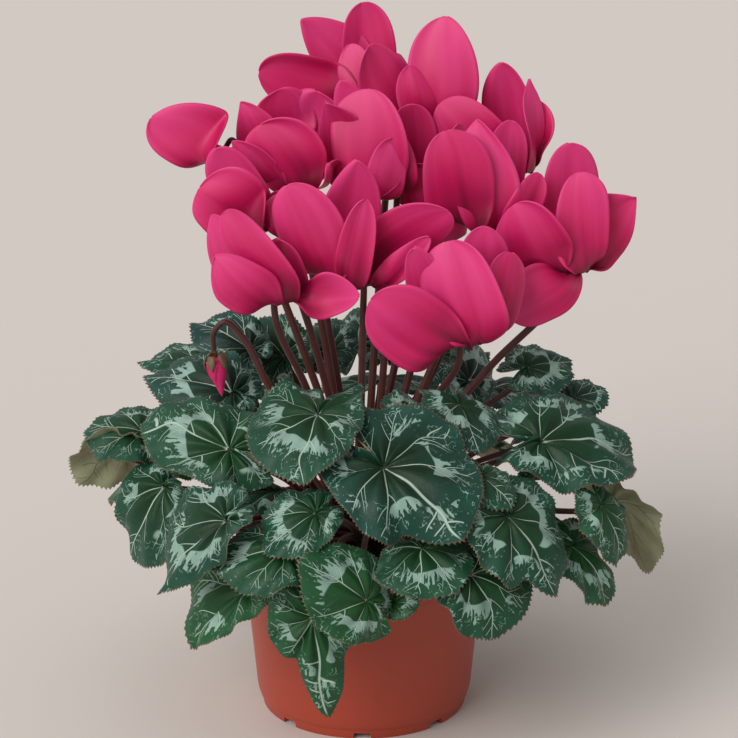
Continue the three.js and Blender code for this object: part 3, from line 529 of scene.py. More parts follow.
def stations_on(points, count):
    """Points at even steps on the centripetal Catmull-Rom curve through the given ones."""
    knots = [np.array(point, dtype=float) for point in points]
    knots = [2 * knots[0] - knots[1]] + knots + [2 * knots[-1] - knots[-2]]
    result = []
    for i in range(count + 1):
        place = (len(points) - 1) * i / count
        span = min(int(place), len(points) - 2)
        share = place - span
        before, start, end, after = knots[span : span + 4]
        first, middle, last = (
            sqrt(np.linalg.norm(b - a)) or 1.0
            for a, b in ((before, start), (start, end), (end, after))
        )
        leave = (start - before) / first - (end - before) / (first + middle)
        leave = (leave + (end - start) / middle) * middle
        arrive = (end - start) / middle - (after - start) / (middle + last)
        arrive = (arrive + (after - end) / last) * middle
        square, cube = share * share, share**3
        result.append(
            start * (2 * cube - 3 * square + 1)
            + end * (3 * square - 2 * cube)
            + leave * (cube - 2 * square + share)
            + arrive * (cube - square)
        )
    return result


# ---- Materials ----

# Cyclamen leaf, laid out flat: distances from the stalk in millimetres, reach from 0 at the
# stalk to 1 at the margin. Main veins stand VEIN_GAP degrees apart. Each step is the name of
# its value, the operation, and its terms.
BLADE_SPREAD = 140  # millimetres that one unit of UV spans
VEIN_STEPS = (
    ("left", "SUBTRACT", "u", 0.5),
    ("left", "MULTIPLY", "left", BLADE_SPREAD),
    ("ahead", "SUBTRACT", "v", 0.5),
    ("ahead", "MULTIPLY", "ahead", BLADE_SPREAD),
    ("angle", "ARCTAN2", "left", "ahead"),
    ("square", "MULTIPLY", "left", "left"),
    ("square", "MULTIPLY_ADD", "ahead", "ahead", "square"),
    ("radius", "SQRT", "square"),
    ("reach", "MAXIMUM", "reach", 0.04),
    ("size", "DIVIDE", "radius", "reach"),
    ("scale", "DIVIDE", "size", 36.0),
    ("swing", "SUBTRACT", "wander", 0.5),
    ("bearing", "MULTIPLY_ADD", "swing", 0.45, "angle"),
    ("turns", "DIVIDE", "bearing", radians(VEIN_GAP)),
    ("vein", "ROUND", "turns"),
    ("aside", "MULTIPLY_ADD", "vein", -radians(VEIN_GAP), "bearing"),
    ("sine", "SINE", "aside"),
    ("cosine", "COSINE", "aside"),
    ("side", "SIGN", "aside"),
    ("apart", "MULTIPLY", "sine", "radius"),
    ("apart", "ABSOLUTE", "apart"),
    ("along", "MULTIPLY", "cosine", "reach"),
    ("across", "DIVIDE", "apart", "size"),
    ("midrib", "COMPARE", "vein", 0.0, 0.5),
    ("heft", "MULTIPLY_ADD", "vein", 5.1, "seed"),
    ("heft", "SINE", "heft"),
    ("heft", "MULTIPLY_ADD", "heft", 0.12, 0.48),
    ("heft", "MULTIPLY_ADD", "midrib", 0.18, "heft"),
    ("taper", "MULTIPLY_ADD", "reach", -0.55, 1.0),
    ("half", "MULTIPLY", "heft", "taper"),
    ("half", "MULTIPLY", "half", "scale"),
    ("core", "MULTIPLY", "half", 0.35),
    ("veins", "SMOOTHSTEP", "apart", "half", "core"),
    ("ending", "MULTIPLY_ADD", "wander", -0.3, 1.05),
    ("ending", "MAXIMUM", "ending", "midrib"),
    ("stopped", "SUBTRACT", "ending", 0.08),
    ("ending", "SMOOTHSTEP", "along", "ending", "stopped"),
    ("veins", "MULTIPLY", "veins", "ending"),
)
# Side veins leave the main ones where reach is start, and run for length.
SIDE_VEINS = ((0.4, 0.3, 1.0), (0.58, 0.24, 2.7), (0.74, 0.14, 4.1))
SIDE_VEIN_STEPS = (
    ("draw", "MULTIPLY_ADD", "vein", 7.3, "phase"),
    ("draw", "MULTIPLY_ADD", "side", 2.1, "draw"),
    ("draw", "MULTIPLY_ADD", "seed", 43.0, "draw"),
    ("draw", "SINE", "draw"),
    ("start", "MULTIPLY_ADD", "draw", 0.07, "base"),
    ("past", "SUBTRACT", "along", "start"),
    ("bend", "MULTIPLY", "past", "past"),
    ("path", "MULTIPLY", "past", 0.85),
    ("path", "MULTIPLY_ADD", "bend", -0.7, "path"),
    ("miss", "SUBTRACT", "across", "path"),
    ("miss", "ABSOLUTE", "miss"),
    ("miss", "MULTIPLY", "miss", "size"),
    ("fine", "MULTIPLY_ADD", "past", -0.8, 0.38),
    ("fine", "MULTIPLY", "fine", "scale"),
    ("thin", "MULTIPLY", "fine", 0.35),
    ("branch", "SMOOTHSTEP", "miss", "fine", "thin"),
    ("begun", "SMOOTHSTEP", "past", 0.0, 0.015),
    ("chosen", "GREATER_THAN", "draw", -0.45),
    ("begun", "MULTIPLY", "begun", "chosen"),
    ("done", "SMOOTHSTEP", "past", "length", "fading"),
    ("branch", "MULTIPLY", "branch", "begun"),
    ("branch", "MULTIPLY", "branch", "done"),
    ("veins", "MAXIMUM", "veins", "branch"),
)
# Silver patches lie in a band between the veins, smooth inside and ragged outside.
SILVER_STEPS = (
    ("inner", "MULTIPLY_ADD", "broad", 0.32, "reach"),
    ("inner", "SMOOTHSTEP", "inner", 0.66, 0.68),
    ("outer", "MULTIPLY_ADD", "rough", 0.4, "reach"),
    ("outer", "MULTIPLY_ADD", "fingers", 0.9, "outer"),
    ("outer", "SMOOTHSTEP", "outer", 1.36, 1.33),
    ("kept", "SMOOTHSTEP", "islands", 0.48, 0.51),
    ("silver", "MULTIPLY", "inner", "outer"),
    ("silver", "MULTIPLY", "silver", "kept"),
    ("dust", "SMOOTHSTEP", "speck", 0.2, 0.12),
    ("dusted", "SMOOTHSTEP", "reach", 0.5, 0.75),
    ("dust", "MULTIPLY", "dust", "dusted"),
    ("dust", "MULTIPLY", "dust", "islands"),
    ("twigs", "SUBTRACT", "ragged", 0.5),
    ("twigs", "ABSOLUTE", "twigs"),
    ("twigs", "SMOOTHSTEP", "twigs", 0.022, 0.01),
    ("twigs", "MULTIPLY", "twigs", "dusted"),
    ("strewn", "SMOOTHSTEP", "rough", 0.5, 0.6),
    ("twigs", "MULTIPLY", "twigs", "strewn"),
    ("pale", "MAXIMUM", "twigs", "dust"),
    ("edge", "SMOOTHSTEP", "reach", 0.975, 0.995),
    ("edge", "MULTIPLY", "edge", 0.75),
    ("light", "MULTIPLY_ADD", "mottle", 0.7, 0.65),
)
# Veins are sunk, and the skin between them is pebbled.
RELIEF_STEPS = (
    ("height", "MULTIPLY", "veins", -1.0),
    ("height", "MULTIPLY_ADD", "pebble", 0.45, "height"),
    ("height", "MULTIPLY_ADD", "rough", 1.2, "height"),
    ("gloss", "MULTIPLY_ADD", "mottle", 0.2, 0.34),
)
# Each noise on the blade: feature size in millimetres, detail.
LEAF_NOISES = dict(
    wander=(22.0, 0.0),
    broad=(15.0, 1.0),
    rough=(7.0, 2.0),
    ragged=(3.4, 1.0),
    islands=(13.0, 0.0),
    mottle=(9.0, 3.0),
)


def leaf_material(settings):
    """Waxy living leaf: dark green, deepest near the stalk partly as painted shade, silver
    marbling, pale veins and a thin pale margin.
    """
    material, tree = blank_material("cyclamen leaf blade")
    uv = add(tree, "ShaderNodeUVMap", uv_map="surface")
    flat = add(tree, "ShaderNodeSeparateXYZ", {0: uv}).node.outputs
    values = {"u": flat[0], "v": flat[1]}
    for name in ("reach", "seed", "under", "tone"):
        values[name] = add(tree, "ShaderNodeAttribute", out="Fac", attribute_name=name)
    # Every blade has its own cut through the noises, which are 310 mm deep in all.
    shift = add(tree, "ShaderNodeMath", {0: values["seed"], 1: 310.0}, operation="MULTIPLY")
    spread = {0: uv, 1: (BLADE_SPREAD,) * 3}
    place = add(tree, "ShaderNodeVectorMath", spread, operation="MULTIPLY")
    spot = add(tree, "ShaderNodeSeparateXYZ", {0: place}).node.outputs
    where = add(tree, "ShaderNodeCombineXYZ", {0: spot[0], 1: spot[1], 2: shift})
    for name, (size, detail) in LEAF_NOISES.items():
        inputs = {"Vector": where, "Scale": 1 / size, "Detail": detail}
        values[name] = add(tree, "ShaderNodeTexNoise", inputs)
    # Specks stand 2.6 mm apart, and the pebbled skin has cells of 0.9 mm.
    values["speck"] = add(tree, "ShaderNodeTexVoronoi", {"Vector": where, "Scale": 1 / 2.6})
    inputs = {"Vector": where, "Scale": 1.1, "Detail": 2.0}
    values["pebble"] = add(tree, "ShaderNodeTexNoise", inputs)
    calculate(tree, values, VEIN_STEPS)
    # Streaks that run outward break the outer edge of the silver into fingers.
    steps = (("round", "MULTIPLY", "angle", 16.0), ("out", "MULTIPLY", "reach", 5.0))
    calculate(tree, values, steps)
    inputs = {0: values["round"], 1: values["out"], 2: shift}
    streaks = add(tree, "ShaderNodeCombineXYZ", inputs)
    inputs = {"Vector": streaks, "Scale": 1.0, "Detail": 2.0}
    values["fingers"] = add(tree, "ShaderNodeTexNoise", inputs)
    for base, length, phase in SIDE_VEINS:
        values.update(base=base, length=length, fading=length * 0.8, phase=phase)
        calculate(tree, values, SIDE_VEIN_STEPS)
    calculate(tree, values, SILVER_STEPS + RELIEF_STEPS)

    # The centre colour is the leaf's own dark green, deepened with painted shade for the hollows
    # round the stalks where the leaves shade each other.
    stops = ((0.25, settings.centre), (0.95, settings.rim))
    colour = add(tree, "ShaderNodeValToRGB", {0: values["reach"]}, stops=stops)
    inputs = {0: values["veins"], 6: settings.underside, 7: settings.under_vein}
    beneath = add(tree, "ShaderNodeMix", inputs, 2, data_type="RGBA")
    for name, paint in (
        ("tone", settings.warm),
        ("silver", settings.silver),
        ("pale", settings.silver),
        ("veins", settings.vein),
        ("edge", settings.margin),
        ("under", beneath),
    ):
        inputs = {0: values[name], 6: colour, 7: paint}
        colour = add(tree, "ShaderNodeMix", inputs, 2, data_type="RGBA")
    inputs = {0: 1.0, 6: colour, 7: values["light"]}
    colour = add(tree, "ShaderNodeMix", inputs, 2, data_type="RGBA", blend_type="MULTIPLY")
    inputs = {
        "Base Color": colour,
        "Roughness": values["gloss"],
        "IOR": 1.45,
        "Specular IOR Level": 0.25,
        "Subsurface Weight": 0.08,
        "Subsurface Radius": (0.5, 1.0, 0.3),
        "Subsurface Scale": 0.001,
    }
    return finished(material, inputs, (0.6, 0.0006, values["height"]))


def petal_material(settings):
    """Thin living petal: saturated magenta, crimson at the root deepened with painted shade, a
    lighter tip that is partly painted highlight, rims lightened as painted highlight, veins that
    fan out from the root.
    """
    material, tree = blank_material("cyclamen petal")
    uv = add(tree, "ShaderNodeUVMap", uv_map="surface")
    flat = add(tree, "ShaderNodeSeparateXYZ", {0: uv}).node.outputs
    seed = add(tree, "ShaderNodeAttribute", out="Fac", attribute_name="seed")
    values = {"across": flat[0], "along": flat[1], "seed": seed}
    # Streaks about 1 mm wide on a petal 25 mm wide, drawn out along it.
    steps = (
        ("wide", "MULTIPLY", "across", 26.0),
        ("long", "MULTIPLY", "along", 1.6),
        ("draw", "MULTIPLY", "seed", 90.0),
    )
    calculate(tree, values, steps)
    inputs = {0: values["wide"], 1: values["long"], 2: values["draw"]}
    where = add(tree, "ShaderNodeCombineXYZ", inputs)
    for name, scale in (("streak", 0.9), ("cloud", 0.13)):
        inputs = {"Vector": where, "Scale": scale, "Detail": 2.0}
        values[name] = add(tree, "ShaderNodeTexNoise", inputs)
    steps = (
        ("aside", "MULTIPLY_ADD", "across", 2.0, -1.0),
        ("aside", "ABSOLUTE", "aside"),
        # Painted highlight: the rims are lightened towards the tip colour, where light catches
        # them.
        ("edge", "SMOOTHSTEP", "aside", 0.78, 1.0),
        ("depth", "MULTIPLY_ADD", "cloud", 0.8, "along"),
        ("depth", "MULTIPLY_ADD", "streak", 0.08, "depth"),
        ("depth", "MULTIPLY_ADD", "edge", 0.26, "depth"),
        ("own", "MULTIPLY", "seed", 37.0),
        ("own", "SINE", "own"),
        ("depth", "MULTIPLY_ADD", "own", 0.13, "depth"),
        ("depth", "SUBTRACT", "depth", 0.5),
        ("gloss", "MULTIPLY_ADD", "cloud", 0.15, 0.42),
    )
    calculate(tree, values, steps)
    # The crimson root is the petal's own dark base deepened with painted shade; the lighter tip
    # colour is partly painted highlight.
    stops = ((0.04, settings.root), (0.98, settings.tip), (0.46, settings.middle))
    inputs = {
        "Base Color": add(tree, "ShaderNodeValToRGB", {0: values["depth"]}, stops=stops),
        "Roughness": values["gloss"],
        "IOR": 1.4,
        "Subsurface Weight": 0.2,
        "Subsurface Radius": (1.0, 0.12, 0.45),
        "Subsurface Scale": 0.003,
    }
    return finished(material, inputs, (0.2, 0.0002, values["streak"]))


def stalk_material(settings):
    """Fleshy stalk: purplish brown, paler where it leaves the tuber, faintly hairy."""
    material, tree = blank_material("cyclamen stalk")
    share = add(tree, "ShaderNodeAttribute", out="Fac", attribute_name="share")
    spot = add(tree, "ShaderNodeTexCoord", out="Object")
    # Blotches of 6 mm and a skin grain of 1.1 mm.
    blotch = add(tree, "ShaderNodeTexNoise", {"Vector": spot, "Scale": 160.0, "Detail": 3.0})
    grain = add(tree, "ShaderNodeTexNoise", {"Vector": spot, "Scale": 900.0, "Detail": 2.0})
    values = {"share": share, "blotch": blotch}
    steps = (
        ("mix", "MULTIPLY_ADD", "blotch", 0.6, "share"),
        ("mix", "SUBTRACT", "mix", 0.3),
    )
    calculate(tree, values, steps)
    stops = ((0.0, settings.stalk_foot), (0.8, settings.stalk_top))
    inputs = {
        "Base Color": add(tree, "ShaderNodeValToRGB", {0: values["mix"]}, stops=stops),
        "Roughness": 0.5,
        "IOR": 1.42,
        "Sheen Weight": 0.3,
        "Sheen Roughness": 0.4,
    }
    return finished(material, inputs, (0.4, 0.0003, grain))


def sepal_material():
    """Living sepal: brownish green, purple-tinged towards its foot, with a fine grain."""
    material, tree = blank_material("cyclamen sepal")
    share = add(tree, "ShaderNodeAttribute", out="Fac", attribute_name="share")
    stops = ((0.2, linear("#6b4436")), (0.8, linear("#59603f")))
    colour = add(tree, "ShaderNodeValToRGB", {0: share}, stops=stops)
    spot = add(tree, "ShaderNodeTexCoord", out="Object")
    # A grain of 0.8 mm.
    grain = add(tree, "ShaderNodeTexNoise", {"Vector": spot, "Scale": 1200.0, "Detail": 2.0})
    return finished(material, {"Base Color": colour, "Roughness": 0.55}, (0.5, 0.0003, grain))


def earthy_material(name, dark, light, size, relief):
    """Crumbly or corky surface: two browns in grains of that size in millimetres."""
    material, tree = blank_material(name)
    spot = add(tree, "ShaderNodeTexCoord", out="Object")
    inputs = {"Vector": spot, "Scale": 1000 / size, "Detail": 6.0, "Roughness": 0.65}
    grain = add(tree, "ShaderNodeTexNoise", inputs)
    stops = ((0.35, linear(dark)), (0.7, linear(light)))
    colour = add(tree, "ShaderNodeValToRGB", {0: grain}, stops=stops)
    return finished(material, {"Base Color": colour, "Roughness": 0.9}, (0.9, relief, grain))


def pot_material(settings):
    """Injection-moulded polypropylene in terracotta: even, faintly mottled, soft sheen."""
    material, tree = blank_material("terracotta polypropylene")
    spot = add(tree, "ShaderNodeTexCoord", out="Object")
    # Flow marks of 45 mm from the moulding, and a mould texture of 0.7 mm.
    flow = add(tree, "ShaderNodeTexNoise", {"Vector": spot, "Scale": 22.0, "Detail": 4.0})
    grain = add(tree, "ShaderNodeTexNoise", {"Vector": spot, "Scale": 1500.0, "Detail": 1.0})
    stops = ((0.3, settings.shade), (0.65, settings.plastic))
    values = {"flow": flow}
    calculate(tree, values, (("gloss", "MULTIPLY_ADD", "flow", 0.15, 0.38),))
    inputs = {
        "Base Color": add(tree, "ShaderNodeValToRGB", {0: flow}, stops=stops),
        "Roughness": values["gloss"],
        "IOR": 1.49,
    }
    return finished(material, inputs, (0.15, 0.0002, grain))


def floor_material(settings):
    """Matt seamless background paper."""
    material, _ = blank_material("background paper")
    return finished(material, {"Base Color": settings.floor, "Roughness": 0.9})


# ---- Leaf blades ----


def blade_outline(degrees, blade):
    """Radius of the blade's outline from the stalk, as a share of its length."""
    angle = np.radians(degrees)
    lobe, point = blade["lobe"], blade["point"]
    rounded = 0.94 - lobe + lobe * np.cos(angle) + 0.06 * np.cos(2 * angle)
    back = (1 - np.cos(angle)) / 2
    tapered = 0.62 + 0.38 * np.exp(-np.abs(degrees) / 38) - 0.4 * lobe * back * back
    from_sinus = (180 - np.abs(degrees)) / SINUS_WIDTH
    sinus = 1 - SINUS_DEPTH * np.exp(-from_sinus * from_sinus)
    radius = (rounded + (tapered - rounded) * point) * sinus
    for direction, amount, spread in blade["notches"]:
        away = (degrees - direction) / spread
        radius = radius * (1 - amount * np.exp(-away * away))
    corners = np.cos(2 * np.pi * degrees / VEIN_GAP)
    return radius * (1 + blade["corners"] * (corners - 0.3) * (1 - back))


def blade_frame(blade):
    """Stalk end, direction to the tip, direction to the left, upper face, and length."""
    attach = np.array(blade["attach"], dtype=float)
    along = np.array(blade["tip"], dtype=float) - attach
    length = np.linalg.norm(along)
    along /= length
    middle = attach + along * length / 2
    face = unit(np.array((middle[0], middle[1], 0.0))) * 0.7
    face[2] = 0.7
    face = unit(face - along * face.dot(along))
    turn = Quaternion(Vector(along), radians(blade["roll"]))
    face = np.array(turn @ Vector(face))
    return attach, along, np.cross(face, along), face, length


def blade_surface(blade, reach, degrees, seed):
    """Middle surface of the blade, and where each point lies on the blade laid flat."""
    attach, along, across, face, length = blade_frame(blade)
    angle = np.radians(degrees)
    radius = reach * blade_outline(degrees, blade)
    forward = radius * np.cos(angle)
    widths = np.where(degrees > 0, blade["wide"][0], blade["wide"][1])
    sideways = radius * np.sin(angle) * widths

    droop = radians(blade["droop"]) + 1e-3
    arc = length * droop / (2 * sin(droop / 2))
    slope = droop / 2 - droop * forward
    run = arc * (sin(droop / 2) - np.sin(slope)) / droop
    rise = arc * (np.cos(slope) - cos(droop / 2)) / droop

    bend = radians(blade["cup"]) + 1e-3
    lateral = length * np.sin(bend * sideways) / bend
    drop = length * (1 - np.cos(bend * sideways)) / bend

    height, waves, phase = blade["wave"]
    lift = height * reach**2 * np.sin(waves * angle + radians(phase))
    for direction, amount in blade["curls"]:
        away = ((degrees - direction + 540) % 360 - 180) / 32
        lift = lift + amount * reach**3 * np.exp(-away * away)
    # Blisters between the veins, a ruffled margin and a dimple over the stalk.
    ripple = np.cos(2 * np.pi * degrees / VEIN_GAP)
    lift = lift + VEIN_PUFF * np.sin(np.pi * np.minimum(1, reach)) * (1 - ripple)
    turn = 2 * np.pi * seed
    ruffle = np.sin(9 * angle + turn) + 0.8 * np.sin(14 * angle + 3 * turn)
    lift = lift + blade["ruffle"] * reach**5 * ruffle
    lift = lift + 1.6 * blade["ruffle"] * reach**2.5 * np.sin(4 * angle + 5 * turn)
    lift = lift - 0.03 * np.exp(-((reach / 0.14) ** 2))
    offset = (lift * length - drop)[..., None]
    surface = (
        attach
        + across * lateral[..., None]
        + along * (run[..., None] - offset * np.sin(slope)[..., None])
        + face * (rise[..., None] + offset * np.cos(slope)[..., None])
    )
    flat = np.stack((sideways * length, forward * length), axis=-1)
    return surface, flat


def blade_part(blade, seed, tooth_pitch):
    """A thin closed leaf blade with a finely toothed, slightly uneven margin."""
    draw = random.Random(seed)
    notches = [(way * draw.uniform(35, 150), 0.07, 11) for way in (-1, 1, -1, 1)]
    blade = {"notches": notches, **blade}
    length = np.linalg.norm(np.subtract(blade["tip"], blade["attach"]))
    width = sum(blade["wide"]) / 2
    teeth = max(34, int(2 * pi * length * 0.8 * (1 + width) / 2 / tooth_pitch))
    spokes, rings = 3 * teeth, len(BLADE_RINGS)
    reach = np.array(BLADE_RINGS)[:, None] * np.ones(spokes)
    degrees = (np.arange(spokes) * 360 / spokes - 180)[None, :] * np.ones((rings, 1))
    tooth = TOOTH / length * np.array((1.0, -0.2, -1.0))[np.arange(spokes) % 3]
    reach[-1] += tooth
    reach[-2] += tooth * 0.4
    surface, flat = blade_surface(blade, reach, degrees, seed)
    centre, _ = blade_surface(blade, np.zeros((1, 1)), np.zeros((1, 1)), seed)

    outward = np.gradient(surface, axis=0)
    around = np.roll(surface, -1, axis=1) - np.roll(surface, 1, axis=1)
    normal = unit(np.cross(outward, around))
    middle = unit(normal[0].mean(axis=0))
    inside = np.clip(reach, 0, 1)
    half = BLADE_THICKNESS / 2 * (1 - 0.55 * inside**10)[..., None]
    tone = np.clip((LOWER_LEAVES - blade["attach"][2]) / LOWER_LEAVES, 0, 0.5)
    tone += 0.3 * (seed * 7.13 % 1)
    below = 1 + rings * spokes
    points, uv = [], []
    for side in (1, -1):
        points.append(tuple(centre[0, 0] + side * middle * BLADE_THICKNESS / 2))
        points.extend(map(tuple, (surface + side * normal * half).reshape(-1, 3)))
        uv.append((0.5, 0.5))
        uv.extend(map(tuple, flat.reshape(-1, 2) / BLADE_SPREAD + 0.5))
    layers = {
        "reach": [0.0, *inside.ravel()] * 2,
        "under": [0.0] * below + [1.0] * below,
        "seed": [seed] * (2 * below),
        "tone": [tone] * (2 * below),
    }
    faces = []
    for i in range(spokes):
        j = (i + 1) % spokes
        faces.append((0, 1 + i, 1 + j))
        faces.append((below, below + 1 + j, below + 1 + i))
        for ring in range(rings - 1):
            a, b = 1 + ring * spokes + i, 1 + ring * spokes + j
            c, d = b + spokes, a + spokes
            faces.append((a, d, c, b))
            faces.append((below + a, below + b, below + c, below + d))
        faces.append((d, below + d, below + c, c))
    return points, faces, uv, layers


# ---- Stalks and crown ----


def crown_places(targets, rings):
    """Feet of the stalks around the crown, in the order of the directions they lead to."""
    order = sorted(range(len(targets)), key=lambda i: atan2(targets[i][1], targets[i][0]))
    places = [None] * len(targets)
    for rank, target in enumerate(order):
        ring = rings[rank % len(rings)]
        turn = 2 * pi * (rank + 0.5) / len(targets) - pi
        share = ring / TUBER["radius"]
        height = TUBER["centre"] + TUBER["rise"] * sqrt(1 - share * share) - CROWN_SINK
        places[target] = np.array((ring * cos(turn), ring * sin(turn), height))
    return places


def leaf_stalk(blade, foot):
    """Way of a leaf stalk from the crown to the underside of its blade."""
    attach, along, _, face, _ = blade_frame(blade)
    half = radians(blade["droop"]) / 2
    up = unit(face * cos(half) - along * sin(half))
    end = attach - up * 0.6
    elbow = end - up * STALK_ELBOW
    shoulder = foot + (elbow - foot) * 0.5
    shoulder[2] = max(foot[2] + (elbow[2] - foot[2]) * 0.62, CLEAR_OF_RIM)
    return foot, shoulder, elbow, end


def flower_stalk(flower, foot):
    """Way of a flower stalk, past the flower on its own side and over a hook to the calyx."""
    mouth, side = flower["mouth"], towards(flower["stalk_side"])
    by = mouth + side * HOOK["side"] - UP * 12
    return (
        foot,
        foot + (by - foot) * 0.3 + UP * 8,
        foot + (by - foot) * 0.65 + UP * 6,
        by,
        mouth + side * HOOK["side"] + UP * 8,
        mouth + side * HOOK["run"] + UP * HOOK["rise"],
        mouth + UP * (THROAT["height"] + CALYX_HEIGHT - 0.7),
    )


def grow_tubes(tree, given):
    """Round tubes along the edges, as thick as their points say, and faintly uneven."""
    radius = add(tree, "GeometryNodeInputNamedAttribute", {"Name": "thickness"}, data_type="FLOAT")
    curve = add(tree, "GeometryNodeMeshToCurve", {0: given["Geometry"]})
    ring = {"Resolution": given["Sides"], "Radius": 1.0}
    ring = add(tree, "GeometryNodeCurvePrimitiveCircle", ring)
    inputs = {"Curve": curve, "Profile Curve": ring, "Scale": radius, "Fill Caps": True}
    tube = add(tree, "GeometryNodeCurveToMesh", inputs)
    inputs = {"W": given["Seed"], "Scale": 140.0, "Detail": 1.0}
    values = {"waver": given["Waver"]}
    values["bumps"] = add(tree, "ShaderNodeTexNoise", inputs, noise_dimensions="4D")
    steps = (("swell", "MULTIPLY_ADD", "bumps", 2.0, -1.0), ("swell", "MULTIPLY", "swell", "waver"))
    calculate(tree, values, steps)
    inputs = {0: add(tree, "GeometryNodeInputNormal"), "Scale": values["swell"]}
    push = add(tree, "ShaderNodeVectorMath", inputs, operation="SCALE")
    return add(tree, "GeometryNodeSetPosition", {"Geometry": tube, "Offset": push})


def stalks_mesh(ways):
    """Round tapering stalks along their ways, as one plain mesh."""
    points, edges, thickness, share = [], [], [], []
    for stations, (foot_radius, top_radius) in ways:
        last = len(stations) - 1
        edges.extend((len(points) + i, len(points) + i + 1) for i in range(last))
        for i, station in enumerate(stations):
            points.append(station * MM)
            thickness.append((foot_radius + (top_radius - foot_radius) * i / last) * MM)
            share.append(i / last)
    mesh = bpy.data.meshes.new("stalks")
    mesh.from_pydata(points, edges, [])
    for layer, values in (("thickness", thickness), ("share", share)):
        mesh.attributes.new(layer, "FLOAT", "POINT").data.foreach_set("value", values)
    wanted = {
        "Sides": ("Int", STALK_SIDES),
        "Waver": ("Float", STALK_WAVER * MM),
        "Seed": ("Float", 4.0),
        "Material": ("Material", bpy.data.materials["cyclamen stalk"]),
    }
    return grown("stalks", mesh, wanted, grow_tubes)


def sepal_part(base, out, down, length):
    """One pointed sepal that starts at base and lies along down, its face turned to out."""
    side = np.cross(down, out)
    points, share = [], []
    rows, half = SEPAL["rows"], SEPAL["half"]
    for layer in (0.25, -0.25):
        for i in range(rows):
            step = i / (rows - 1)
            width = half * sin(pi * min(1, 0.25 + 0.75 * step)) ** 0.8 + 0.08
            bulge = 0.9 * sin(pi * step) + 0.5 * step * step
            for across in (-1, -0.5, 0, 0.5, 1):
                spot = base + down * length * step + side * width * across
                spot = spot + out * (bulge + layer - 0.5 * across * across)
                points.append(tuple(spot))
                share.append(0.2 + 0.6 * step)
    return points, shell_faces(rows, 5), [(0.5, 0.5)] * len(points), {"share": share}


def calyx_parts(top, axis, radius, turned, length):
    """Five sepals around the top of a flower or bud; axis points up the stalk."""
    first = unit(np.cross(axis, np.array((1.0, 0.0, 0.0))))
    parts = []
    for i in range(5):
        turn = Quaternion(Vector(axis), 2 * pi * (i + turned) / 5)
        out = np.array(turn @ Vector(first))
        down = unit(-axis + out * 0.12)
        parts.append(sepal_part(top + out * radius, out, down, length))
    return parts


# ---- Flowers ----


def petal_width(share, half, point, widest):
    """Half width of a petal at that share of its length; point from 0, round, to 1, pointed."""
    if share < widest:
        grown_out = sin(pi / 2 * share / widest) ** 1.1
        return half * (PETAL["root_share"] + (1 - PETAL["root_share"]) * grown_out)
    past = (share - widest) / (1 - widest)
    rounded = sqrt(max(0.0, 1 - past**2.8))
    pointed = max(0.0, 1 - past**1.7) ** 0.95
    return half * (rounded + (pointed - rounded) * point)


